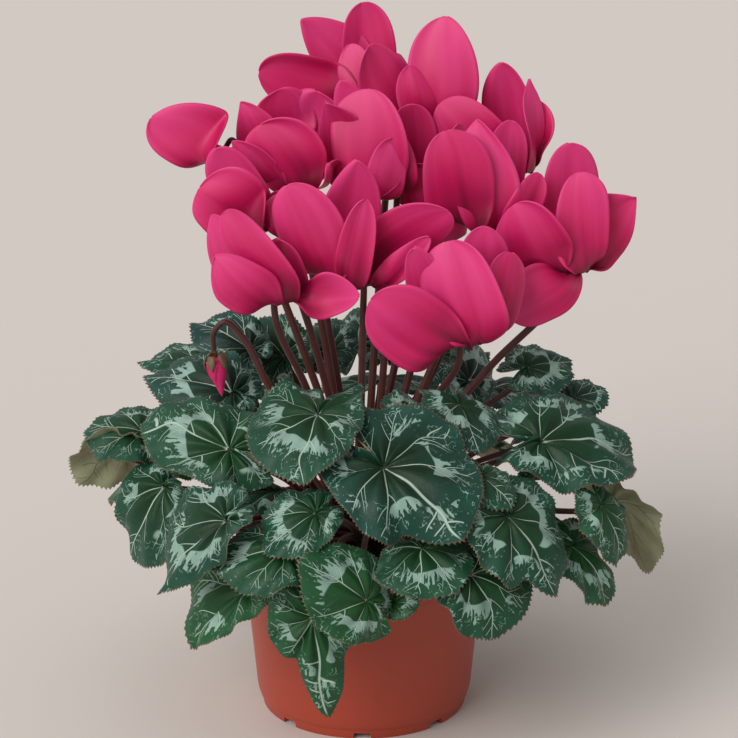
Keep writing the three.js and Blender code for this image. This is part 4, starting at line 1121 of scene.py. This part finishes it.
def petal_part(petal, slot, flower, seed, thickness):
    """One reflexed petal as a thin closed shell, swept along a curved spine."""
    draw = random.Random(round(seed * 1000) + slot)
    drawn = {name: draw.uniform(low, high) for name, (low, high) in PETAL_DRAWS.items()}
    petal = {"bow": PETAL["bow"], **drawn, **petal}
    phase = draw.uniform(0, 6.28)
    mouth = flower["mouth"]
    turn = Quaternion(Vector(UP), radians(PETAL_SLOTS[slot]))
    outward = np.array(turn @ Vector(towards(flower["stalk_side"])))
    root = mouth + outward * (THROAT["rim"] - PETAL["root_sink"]) + UP * PETAL["root_rise"]
    tip = mouth + np.array(petal["tip"], dtype=float)
    face = outward
    if petal["facing"] is not None:
        face = towards(radians(petal["facing"]))
        face = -face if face.dot(outward) < 0 else face
    knots = (
        root,
        root + outward * PETAL["root_spread"] - UP * PETAL["root_dip"],
        root + (tip - root) * PETAL["bow_place"] + face * petal["bow"],
        tip,
    )
    root_side = np.cross(UP, outward)
    blade_side = unit(np.cross(tip - root, face))
    if blade_side.dot(root_side) < 0:
        blade_side = -blade_side

    rows, columns = PETAL["rows"], PETAL["columns"]
    grid, uv = np.empty((rows, columns, 3)), []
    for i in range(rows):
        share = min(1 - (1 - i / (rows - 1)) ** PETAL["crowding"], 0.999)
        rest = 1 - share
        centre = (
            knots[0] * rest**3
            + knots[1] * 3 * rest * rest * share
            + knots[2] * 3 * rest * share * share
            + knots[3] * share**3
        )
        ahead = unit(
            (knots[1] - knots[0]) * rest * rest
            + (knots[2] - knots[1]) * 2 * rest * share
            + (knots[3] - knots[2]) * share * share
        )
        turned = min(1.0, share / 0.5)
        turned = turned * turned * (3 - 2 * turned)
        sideways = root_side + (blade_side - root_side) * turned
        sideways = unit(sideways - ahead * sideways.dot(ahead))
        inward = np.cross(sideways, ahead)
        inward = -inward if inward.dot(face) > 0 else inward
        twist = radians(petal["twist"]) * (share - 0.5)
        sideways, inward = (
            sideways * cos(twist) + inward * sin(twist),
            inward * cos(twist) - sideways * sin(twist),
        )
        bulge = sin(pi * share)
        centre = centre - sideways * petal["sickle"] * petal["half"] * bulge
        centre = centre + inward * petal["curl"] * (share**3 - share) * PETAL["curl_gain"]
        half = PETAL["fullness"] * petal["half"]
        for j in range(columns):
            across = 2 * j / (columns - 1) - 1
            left = 0.0 if across < 0 else 2.2
            widest = PETAL["widest"] + petal["lean"] * copysign(1, across)
            width = petal_width(share, half, petal["point"], widest)
            width *= 1 + PETAL["wobble"] * sin(7 * share + phase + left)
            waves = sin(8 * share + phase + left + across) * abs(across) ** 2.2
            over = max(0.0, across * copysign(1, petal["turned"]) - 0.4) ** 2
            crease = PETAL["crease"] * exp(-((across / PETAL["crease_width"]) ** 2))
            lift = PETAL["cup"] * width * across * across
            lift += petal["fold"] * width * across * abs(across) * share
            lift += petal["ruffle"] * waves * share
            lift += sin(6 * share + 2.5 * across + 2 * phase) * bulge
            lift -= abs(petal["turned"]) * width * over * share
            lift -= crease * bulge**0.7
            grid[i, j] = centre + sideways * width * across + inward * lift
            uv.append((across * 0.5 + 0.5, share))
    normal = unit(np.cross(np.gradient(grid, axis=1), np.gradient(grid, axis=0)))
    half = thickness / 2
    points = [tuple(p) for p in (grid + normal * half).reshape(-1, 3)]
    points += [tuple(p) for p in (grid - normal * half).reshape(-1, 3)]
    return points, shell_faces(rows, columns), uv + uv, {"seed": [seed] * len(points)}


def throat_part(flower, seed):
    """The short tube that the petals spring from, open below, with a five-lobed rim."""
    mouth, first = flower["mouth"], flower["stalk_side"] + radians(PETAL_SLOTS[0])
    rim, bore, radius = THROAT["rim"], THROAT["bore"], THROAT["radius"]
    depth, height = THROAT["depth"], THROAT["height"]
    profile = ((0, depth), (bore * 0.8, depth - 0.2), (bore, 1.0), (bore + 0.5, 0.0))
    profile += ((rim - 0.7, -0.3), (rim, 0.2), (rim - 0.1, 1.2), (radius, height * 0.5))
    profile += ((radius - 0.3, height * 0.85), (radius - 1.2, height), (0, height))

    def bend(x, y, z):
        swell = 1 + 0.07 * cos(5 * (atan2(y, x) - first))
        return (mouth[0] + x * swell, mouth[1] + y * swell, mouth[2] + z)

    points, faces = revolve(profile, 40, bend)
    uv = [(0.5, max(0.0, (mouth[2] + 0.5 - point[2]) * 0.02)) for point in points]
    return points, faces, uv, {"seed": [seed] * len(points)}


def style_part(flower, seed):
    """The thin pale style that stands just out of the throat."""
    profile = ((0, -1.4), (0.25, -1.3), (0.45, -0.8), (0.45, 3.0), (0, 3.0))
    points, faces = revolve(profile, 8)
    points = [tuple(flower["mouth"] + point) for point in points]
    return points, faces, [(0.5, 0.9)] * len(points), {"seed": [seed] * len(points)}


def bud_part():
    """The closed bud: five folded petals wound round each other into a spindle."""
    axis = unit(BUD["calyx_top"] - BUD["tip"])
    turn = Vector((0, 0, 1)).rotation_difference(Vector(axis))
    knots = ((0, 0), (0.1, 0.04), (0.26, 0.14), (0.55, 0.36), (0.85, 0.58), (0.98, 0.75))
    knots += ((1.0, 0.86), (0.88, 0.95), (0.6, 1.0), (0, 1.0))
    profile = []
    for (r0, h0), (r1, h1) in zip(knots, knots[1:]):
        profile.extend((r0 + (r1 - r0) * i / 4, h0 + (h1 - h0) * i / 4) for i in range(4))
    profile.append(knots[-1])
    profile = [(r * BUD["radius"], h * BUD["length"]) for r, h in profile]

    def bend(x, y, z):
        share = z / BUD["length"]
        bearing = atan2(y, x) - radians(BUD["twist"]) * share
        fold = (bearing * 5 / (2 * pi)) % 1
        swell = 1 + 0.16 * (fold - 0.5) * min(1, 2.2 * share) * (1 if share < 0.97 else 0.4)
        return tuple(BUD["tip"] + np.array(turn @ Vector((x * swell, y * swell, z))))

    points, faces = revolve(profile, 60, bend)
    shares = [np.dot(np.array(point) - BUD["tip"], axis) / BUD["length"] for point in points]
    uv = [(0.5, 0.95 - 0.45 * share) for share in shares]
    return points, faces, uv, {"seed": [0.37] * len(points)}


# ---- Pot and compost ----


def inner_wall(height):
    """Inside radius of the pot's tapered wall."""
    share = (height - POT["floor_top"]) / (POT_SHOULDER - POT["floor_top"])
    return POT["foot"] + (POT["shoulder"] - POT["foot"]) * share - POT["wall"]


def pot_mesh():
    """The moulded pot: collar, tapered wall, foot ring with notches, and drain holes."""
    rim, height, ring, foot = POT["rim"], POT["height"], POT["ring"], POT["foot"]
    shoulder, at_shoulder, inner = POT_SHOULDER, POT["shoulder"], POT["ring"] - POT["ring_wall"]
    top, under = POT["floor_top"], POT["floor_top"] - POT["floor"]
    profile = ((0, under), (inner - 0.6, under), (inner, under - 0.5), (inner + 0.5, 0.5))
    profile += ((inner + 1.0, 0), (ring - 0.6, 0), (ring, 0.6), (ring + 0.3, 4.0))
    profile += ((ring + 0.6, 4.9), (ring + 1.6, 5.8), (foot - 0.5, 7.2), (foot, 9.0))
    profile += ((foot + 0.3, 11.0), (at_shoulder - 0.3, shoulder - 1.5))
    profile += ((at_shoulder + 0.1, shoulder - 0.4), (at_shoulder + 0.9, shoulder + 0.1))
    profile += ((rim - 2.0, shoulder + 0.3), (rim - 1.5, shoulder + 0.8))
    profile += ((rim - 0.5, height - 2.4), (rim - 0.4, height - 1.3), (rim - 0.5, height - 0.5))
    profile += ((rim - 1.0, height), (rim - 1.9, height), (rim - 2.3, height - 0.5))
    profile += ((rim - 3.6, shoulder + 3.0), (rim - 4.0, shoulder + 2.2))
    profile += ((inner_wall(shoulder), shoulder), (inner_wall(top + 2), top + 2.0))
    profile += ((inner_wall(top) - 1.2, top + 0.3), (inner_wall(top) - 2.5, top), (0, top))
    points, faces = revolve(profile, 192)
    source = placed("pot", build_mesh("pot", points, faces))
    cutters = []
    block = ((0, 2, 3, 1), (4, 5, 7, 6), (0, 1, 5, 4), (2, 6, 7, 3), (0, 4, 6, 2), (1, 3, 7, 5))
    for i in range(POT["notches"]):
        turn = 2 * pi * i / POT["notches"] - radians(1)
        corners = []
        for z, half in ((-3.2, 5), (3.2, 4)):
            for y in (-half, half):
                for x in (ring - 6, ring + 6):
                    aside = x * sin(turn) + y * cos(turn)
                    corners.append((x * cos(turn) - y * sin(turn), aside, z))
        cutters.append((corners, block, [], {}))
    reach = POT["hole_radius"]
    for i in range(POT["holes"]):
        turn = 2 * pi * i / POT["holes"]
        drill, sides = revolve(((0, 3.0), (reach, 3.0), (reach, 9.0), (0, 9.0)), 32)
        x0, y0 = POT["hole_place"] * cos(turn), POT["hole_place"] * sin(turn)
        cutters.append(([(x + x0, y + y0, z) for x, y, z in drill], sides, [], {}))
    cutter = placed("pot cutters", build_mesh("pot cutters", *merge(cutters)[:2]))
    cut = source.modifiers.new("notches and drain holes", "BOOLEAN")
    cut.operation = "DIFFERENCE"
    cut.solver = "EXACT"
    cut.object = cutter
    mesh = baked(source)
    bpy.data.objects.remove(cutter)
    mesh.set_sharp_from_angle(angle=radians(40))
    return mesh


def grow_crumbs(tree, given):
    """Crumbs of many sizes, turned at random, on the faces above the lowest height."""
    spot = add(tree, "GeometryNodeInputPosition")
    height = add(tree, "ShaderNodeSeparateXYZ", {0: spot}, 2)
    inputs = {0: height, 1: given["Lowest"]}
    high = add(tree, "ShaderNodeMath", inputs, operation="GREATER_THAN")
    inputs = {"Mesh": given["Geometry"], "Selection": high, "Seed": given["Seed"]}
    inputs["Density"] = given["Crumbs per square metre"]
    inputs = {"Points": add(tree, "GeometryNodeDistributePointsOnFaces", inputs)}
    crumb = {"Radius": given["Crumb size"], "Subdivisions": 1}
    inputs["Instance"] = add(tree, "GeometryNodeMeshIcoSphere", crumb)
    for key, least, most in (
        ("Rotation", (0.0, 0.0, 0.0), (6.3, 6.3, 6.3)),
        ("Scale", (0.35, 0.35, 0.3), (1.3, 1.1, 0.8)),
    ):
        limits = {0: least, 1: most, "Seed": given["Seed"]}
        inputs[key] = add(tree, "FunctionNodeRandomValue", limits, data_type="FLOAT_VECTOR")
    crumbs = add(tree, "GeometryNodeInstanceOnPoints", inputs)
    both = add(tree, "GeometryNodeJoinGeometry", {0: given["Geometry"]})
    tree.links.new(crumbs, both.node.inputs[0])
    return both


def compost_mesh(settings):
    """Moist compost that fills the pot, with loose crumbs scattered by Geometry Nodes."""
    wall, shoulder, top = POT["rim"] - 4.0, POT_SHOULDER, POT["floor_top"]
    profile = [(0, top + 0.3), (inner_wall(top) - 3.2, top + 0.3)]
    profile += [(inner_wall(top + 3) - 0.4, top + 3), (inner_wall(shoulder) - 0.3, shoulder)]
    profile += [(wall, shoulder + 3), (wall, shoulder + 6), (wall - 0.4, COMPOST_TOP - 0.6)]
    profile += [(radius, COMPOST_TOP) for radius in range(59, 0, -2)] + [(0, COMPOST_TOP)]

    def bend(x, y, z):
        if z < COMPOST_TOP - 0.1:
            return x, y, z
        lump = sin(x * 0.31) * cos(y * 0.27) + sin((x + y) * 0.19)
        fine = sin(x * 1.3 + 2 * sin(y * 0.7)) * cos(y * 1.1)
        return x, y, z + 0.7 * lump + 0.4 * fine

    wanted = {
        "Crumbs per square metre": ("Float", float(settings.crumbs)),
        "Crumb size": ("Float", settings.crumb_size),
        "Lowest": ("Float", (COMPOST_TOP - 2.5) * MM),
        "Seed": ("Int", 7),
        "Material": ("Material", bpy.data.materials["moist compost"]),
    }
    mesh = build_mesh("compost", *revolve(profile, 120, bend))
    return grown("compost", mesh, wanted, grow_crumbs)


def tuber_part():
    """The corky flattened tuber that stands half out of the compost."""
    profile = []
    for i in range(25):
        angle = radians(-90 + 180 * i / 24)
        reach = TUBER["rise"] if angle > 0 else TUBER["depth"]
        radius = 0 if i in (0, 24) else TUBER["radius"] * cos(angle)
        profile.append((radius, TUBER["centre"] + reach * sin(angle)))

    def bend(x, y, z):
        bearing = atan2(y, x)
        swell = 0.012 * sin(5 * bearing + 0.4 * z) + 0.008 * sin(13 * bearing - z)
        return x * (1 + swell), y * (1 + swell), z

    points, faces = revolve(profile, 64, bend)
    return points, faces, [(0.5, 0.5)] * len(points), {"share": [0.0] * len(points)}


# ---- Settings ----


def colour_property(name, description, colour):
    """A colour setting that starts from an sRGB hex value."""
    bounds = {"subtype": "COLOR", "size": 3, "min": 0.0, "max": 1.0}
    return bpy.props.FloatVectorProperty(
        name=name, description=description, default=linear(colour), **bounds
    )


def number_property(name, description, default, unit="NONE"):
    """A setting that is one number, such as a length in metres."""
    return bpy.props.FloatProperty(name=name, description=description, default=default, unit=unit)


class CyclamenPotSettings(bpy.types.PropertyGroup):
    plastic: colour_property("Plastic", "Colour of the moulded pot", "#a5402d")
    shade: colour_property("Plastic shade", "Darker mottling in the plastic", "#a33d29")
    crumbs: bpy.props.IntProperty(
        name="Crumbs", description="Loose crumbs on a square metre of compost", default=160000
    )
    crumb_size: number_property("Crumb size", "Radius of the largest crumbs", 0.0011, "LENGTH")


class CyclamenLeafSettings(bpy.types.PropertyGroup):
    # Centre: the leaf's own dark green, deepened with painted shade near the stalk.
    centre: colour_property("Centre", "Green near the stalk", "#061b11")
    rim: colour_property("Rim", "Blue-green near the margin", "#1b423e")
    warm: colour_property("Warm green", "Green of the yellower leaves", "#265a2c")
    silver: colour_property("Silver", "Marbled patches", "#84a399")
    vein: colour_property("Vein", "Veins on the upper face", "#a6bcae")
    margin: colour_property("Margin", "Thin line around the margin", "#6d5a48")
    underside: colour_property("Underside", "Lower face", "#84876c")
    under_vein: colour_property("Underside vein", "Veins on the lower face", "#70745a")
    tooth_pitch: number_property("Tooth pitch", "Between teeth of the margin", 0.0019, "LENGTH")
    seed: bpy.props.IntProperty(name="Seed", description="Draw of the marbling", default=11)


class CyclamenFlowerSettings(bpy.types.PropertyGroup):
    # Root: the petal's own crimson, deepened with painted shade. Tip: lighter magenta, partly
    # painted highlight.
    root: colour_property("Root", "Crimson at the petal's root", "#6f0a2c")
    middle: colour_property("Middle", "Magenta of the petal's middle", "#bd0f58")
    tip: colour_property("Tip", "Lighter magenta at the tip", "#d6387c")
    stalk_foot: colour_property("Stalk foot", "Stalk where it leaves the tuber", "#5c2b27")
    stalk_top: colour_property("Stalk top", "Stalk below flower or leaf", "#3a1b1b")
    petal_thickness: number_property("Petal thickness", "From face to face", 0.0006, "LENGTH")


class CyclamenStageSettings(bpy.types.PropertyGroup):
    floor: colour_property("Floor", "Pale background paper", "#d6d1cd")
    aside: number_property("Camera aside", "From the pot's axis to the right", 0.0025, "LENGTH")
    distance: number_property("Camera distance", "Along the floor, from the pot", 1.273, "LENGTH")
    height: number_property("Camera height", "Above the floor", 0.589, "LENGTH")
    tilt: number_property("Camera tilt", "Downward tilt", radians(18), "ROTATION")
    lens: number_property("Lens", "Focal length of the camera in millimetres", 132.8)
    key: number_property("Key light", "Strength of the soft light from the upper left", 2.1)
    sky: number_property("Room light", "Brightness of the soft light all round", 0.46)


# ---- Operators ----


class CYCLAMEN_OT_stage(bpy.types.Operator):
    """Sets up the paper background, soft studio lights and the camera"""

    bl_idname = "cyclamen.stage"
    bl_label = "Stage"

    def execute(self, context):
        settings = context.scene.cyclamen_stage
        context.scene.view_settings.view_transform = "Standard"
        sides, reach = 64, 4000
        points = [reach * towards(2 * pi * i / sides) for i in range(sides)]
        floor = placed("paper", build_mesh("paper", points, [tuple(range(sides))]))
        floor.data.materials.append(floor_material(settings))

        world = bpy.data.worlds.new("soft room")
        world.use_nodes = True
        backdrop = world.node_tree.nodes["Background"]
        backdrop.inputs[0].default_value = (*linear("#fbf7f4"), 1)
        backdrop.inputs[1].default_value = settings.sky
        context.scene.world = world

        # name, compass bearing and height it shines from, share of the key light, spread, colour
        for name, bearing, height, share, spread, colour in (
            ("window light", -132, 34, 1.0, 42, "#fffaf4"),
            ("wall on the left", -165, 45, 0.25, 150, "#fffdfa"),
        ):
            lamp = bpy.data.lights.new(name, "SUN")
            lamp.angle = radians(spread)
            lamp.energy = settings.key * share
            lamp.color = linear(colour)
            lift = radians(height)
            aim = Vector(towards(radians(bearing)) * cos(lift) + UP * sin(lift))
            placed(name, lamp).rotation_euler = aim.to_track_quat("Z", "Y").to_euler()

        lens = bpy.data.cameras.new("camera")
        lens.lens = settings.lens
        lens.sensor_width = 36
        camera = placed("camera", lens)
        camera.location = (settings.aside, -settings.distance, settings.height)
        camera.rotation_euler = (radians(90) - settings.tilt, 0, 0)
        context.scene.camera = camera
        return {"FINISHED"}


class CYCLAMEN_OT_pot(bpy.types.Operator):
    """Builds the moulded pot"""

    bl_idname = "cyclamen.pot"
    bl_label = "Pot"

    def execute(self, context):
        material = pot_material(context.scene.cyclamen_pot)
        show("moulded_pot", pot_mesh(), material, "pot")
        return {"FINISHED"}


class CYCLAMEN_OT_compost(bpy.types.Operator):
    """Fills the pot with compost"""

    bl_idname = "cyclamen.compost"
    bl_label = "Compost"

    def execute(self, context):
        material = earthy_material("moist compost", "#1a110c", "#4a3527", 2.5, 0.0012)
        mesh = compost_mesh(context.scene.cyclamen_pot)
        show("compost_bed", mesh, material, "compost")
        return {"FINISHED"}


class CYCLAMEN_OT_stalks(bpy.types.Operator):
    """Grows the tuber, every stalk, and the sepals"""

    bl_idname = "cyclamen.stalks"
    bl_label = "Tuber and stalks"

    def execute(self, context):
        material = stalk_material(context.scene.cyclamen_flower)
        blades = [blade for blades in LEAVES.values() for blade in blades]
        flowers = list(FLOWERS.values())
        ways = []
        feet = crown_places([blade["attach"] for blade in blades], LEAF_RINGS)
        for blade, foot in zip(blades, feet):
            way = leaf_stalk(blade, foot)
            ways.append((stations_on(way, STALK_STEPS["leaf"]), LEAF_STALK))
        feet = crown_places([flower["mouth"] for flower in flowers], FLOWER_RINGS)
        for flower, foot in zip(flowers, feet):
            way = flower_stalk(flower, foot)
            ways.append((stations_on(way, STALK_STEPS["flower"]), FLOWER_STALK))
        ways.append((stations_on(BUD["stalk"], STALK_STEPS["bud"]), FLOWER_STALK))
        show("stalks", stalks_mesh(ways), material, "tuber")

        parts = []
        for i, flower in enumerate(flowers):
            top = flower["mouth"] + UP * (THROAT["height"] + 0.8)
            parts += calyx_parts(top, UP, SEPAL["ring"], i * 0.37, SEPAL["length"])
        axis = unit(BUD["calyx_top"] - BUD["tip"])
        top = BUD["calyx_top"] - axis * 4.5
        parts += calyx_parts(top, axis, BUD["sepal_ring"], 0.2, BUD["sepal"])
        mesh = build_mesh("sepals", *merge(parts))
        show("sepals", mesh, sepal_material(), "tuber")

        mesh = build_mesh("tuber_skin", *tuber_part())
        cork = earthy_material("corky tuber skin", "#2a1b14", "#5a4233", 4.0, 0.0008)
        show("tuber_skin", mesh, cork, "tuber")
        return {"FINISHED"}


class CYCLAMEN_OT_leaves(bpy.types.Operator):
    """Builds every leaf blade"""

    bl_idname = "cyclamen.leaves"
    bl_label = "Leaves"

    def execute(self, context):
        settings = context.scene.cyclamen_leaf
        material = leaf_material(settings)
        draw = random.Random(settings.seed)
        for node, blades in LEAVES.items():
            pitch = settings.tooth_pitch / MM
            parts = [blade_part(blade, draw.random(), pitch) for blade in blades]
            mesh = build_mesh(f"{node}_blade", *merge(parts))
            show(f"{node}_blade", mesh, material, node)
        return {"FINISHED"}


class CYCLAMEN_OT_flowers(bpy.types.Operator):
    """Builds every flower and the bud"""

    bl_idname = "cyclamen.flowers"
    bl_label = "Flowers"

    def execute(self, context):
        settings = context.scene.cyclamen_flower
        material = petal_material(settings)
        thickness = settings.petal_thickness / MM
        for number, (node, flower) in enumerate(FLOWERS.items()):
            parts = [throat_part(flower, 0.5), style_part(flower, 0.5)]
            for slot, petal in enumerate(flower["petals"]):
                seed = (number * 0.37 + slot * 0.23) % 1
                parts.append(petal_part(petal, slot, flower, seed, thickness))
            mesh = build_mesh(f"{node}_petals", *merge(parts))
            show(f"{node}_petals", mesh, material, node)
        show("bud_petals", build_mesh("bud_petals", *bud_part()), material, "bud")
        return {"FINISHED"}


OPERATORS = (
    CYCLAMEN_OT_stage,
    CYCLAMEN_OT_pot,
    CYCLAMEN_OT_compost,
    CYCLAMEN_OT_stalks,
    CYCLAMEN_OT_leaves,
    CYCLAMEN_OT_flowers,
)
SETTINGS = {
    "cyclamen_pot": CyclamenPotSettings,
    "cyclamen_leaf": CyclamenLeafSettings,
    "cyclamen_flower": CyclamenFlowerSettings,
    "cyclamen_stage": CyclamenStageSettings,
}


class CYCLAMEN_PT_panel(bpy.types.Panel):
    """Buttons and settings for the potted cyclamen"""

    bl_label = "Potted cyclamen"
    bl_idname = "CYCLAMEN_PT_panel"
    bl_space_type = "VIEW_3D"
    bl_region_type = "UI"
    bl_category = "Cyclamen"

    def draw(self, context):
        layout = self.layout
        for operator in OPERATORS:
            layout.operator(operator.bl_idname)
        for group, settings in SETTINGS.items():
            box = layout.box()
            box.label(text=settings.__name__)
            for name in settings.__annotations__:
                box.prop(getattr(context.scene, group), name)


def register():
    """Registers the settings, operators and panel."""
    for group, settings in SETTINGS.items():
        bpy.utils.register_class(settings)
        setattr(bpy.types.Scene, group, bpy.props.PointerProperty(type=settings))
    for item in (*OPERATORS, CYCLAMEN_PT_panel):
        bpy.utils.register_class(item)


def unregister():
    """Removes what register added."""
    for item in (CYCLAMEN_PT_panel, *reversed(OPERATORS)):
        bpy.utils.unregister_class(item)
    for group, settings in reversed(SETTINGS.items()):
        delattr(bpy.types.Scene, group)
        bpy.utils.unregister_class(settings)


def main():
    """Builds the plant."""
    register()
    bpy.ops.cyclamen.stage()
    bpy.ops.cyclamen.pot()
    bpy.ops.cyclamen.compost()
    bpy.ops.cyclamen.stalks()
    bpy.ops.cyclamen.leaves()
    bpy.ops.cyclamen.flowers()
    bpy.context.view_layer.update()


if __name__ == "__main__":
    main()
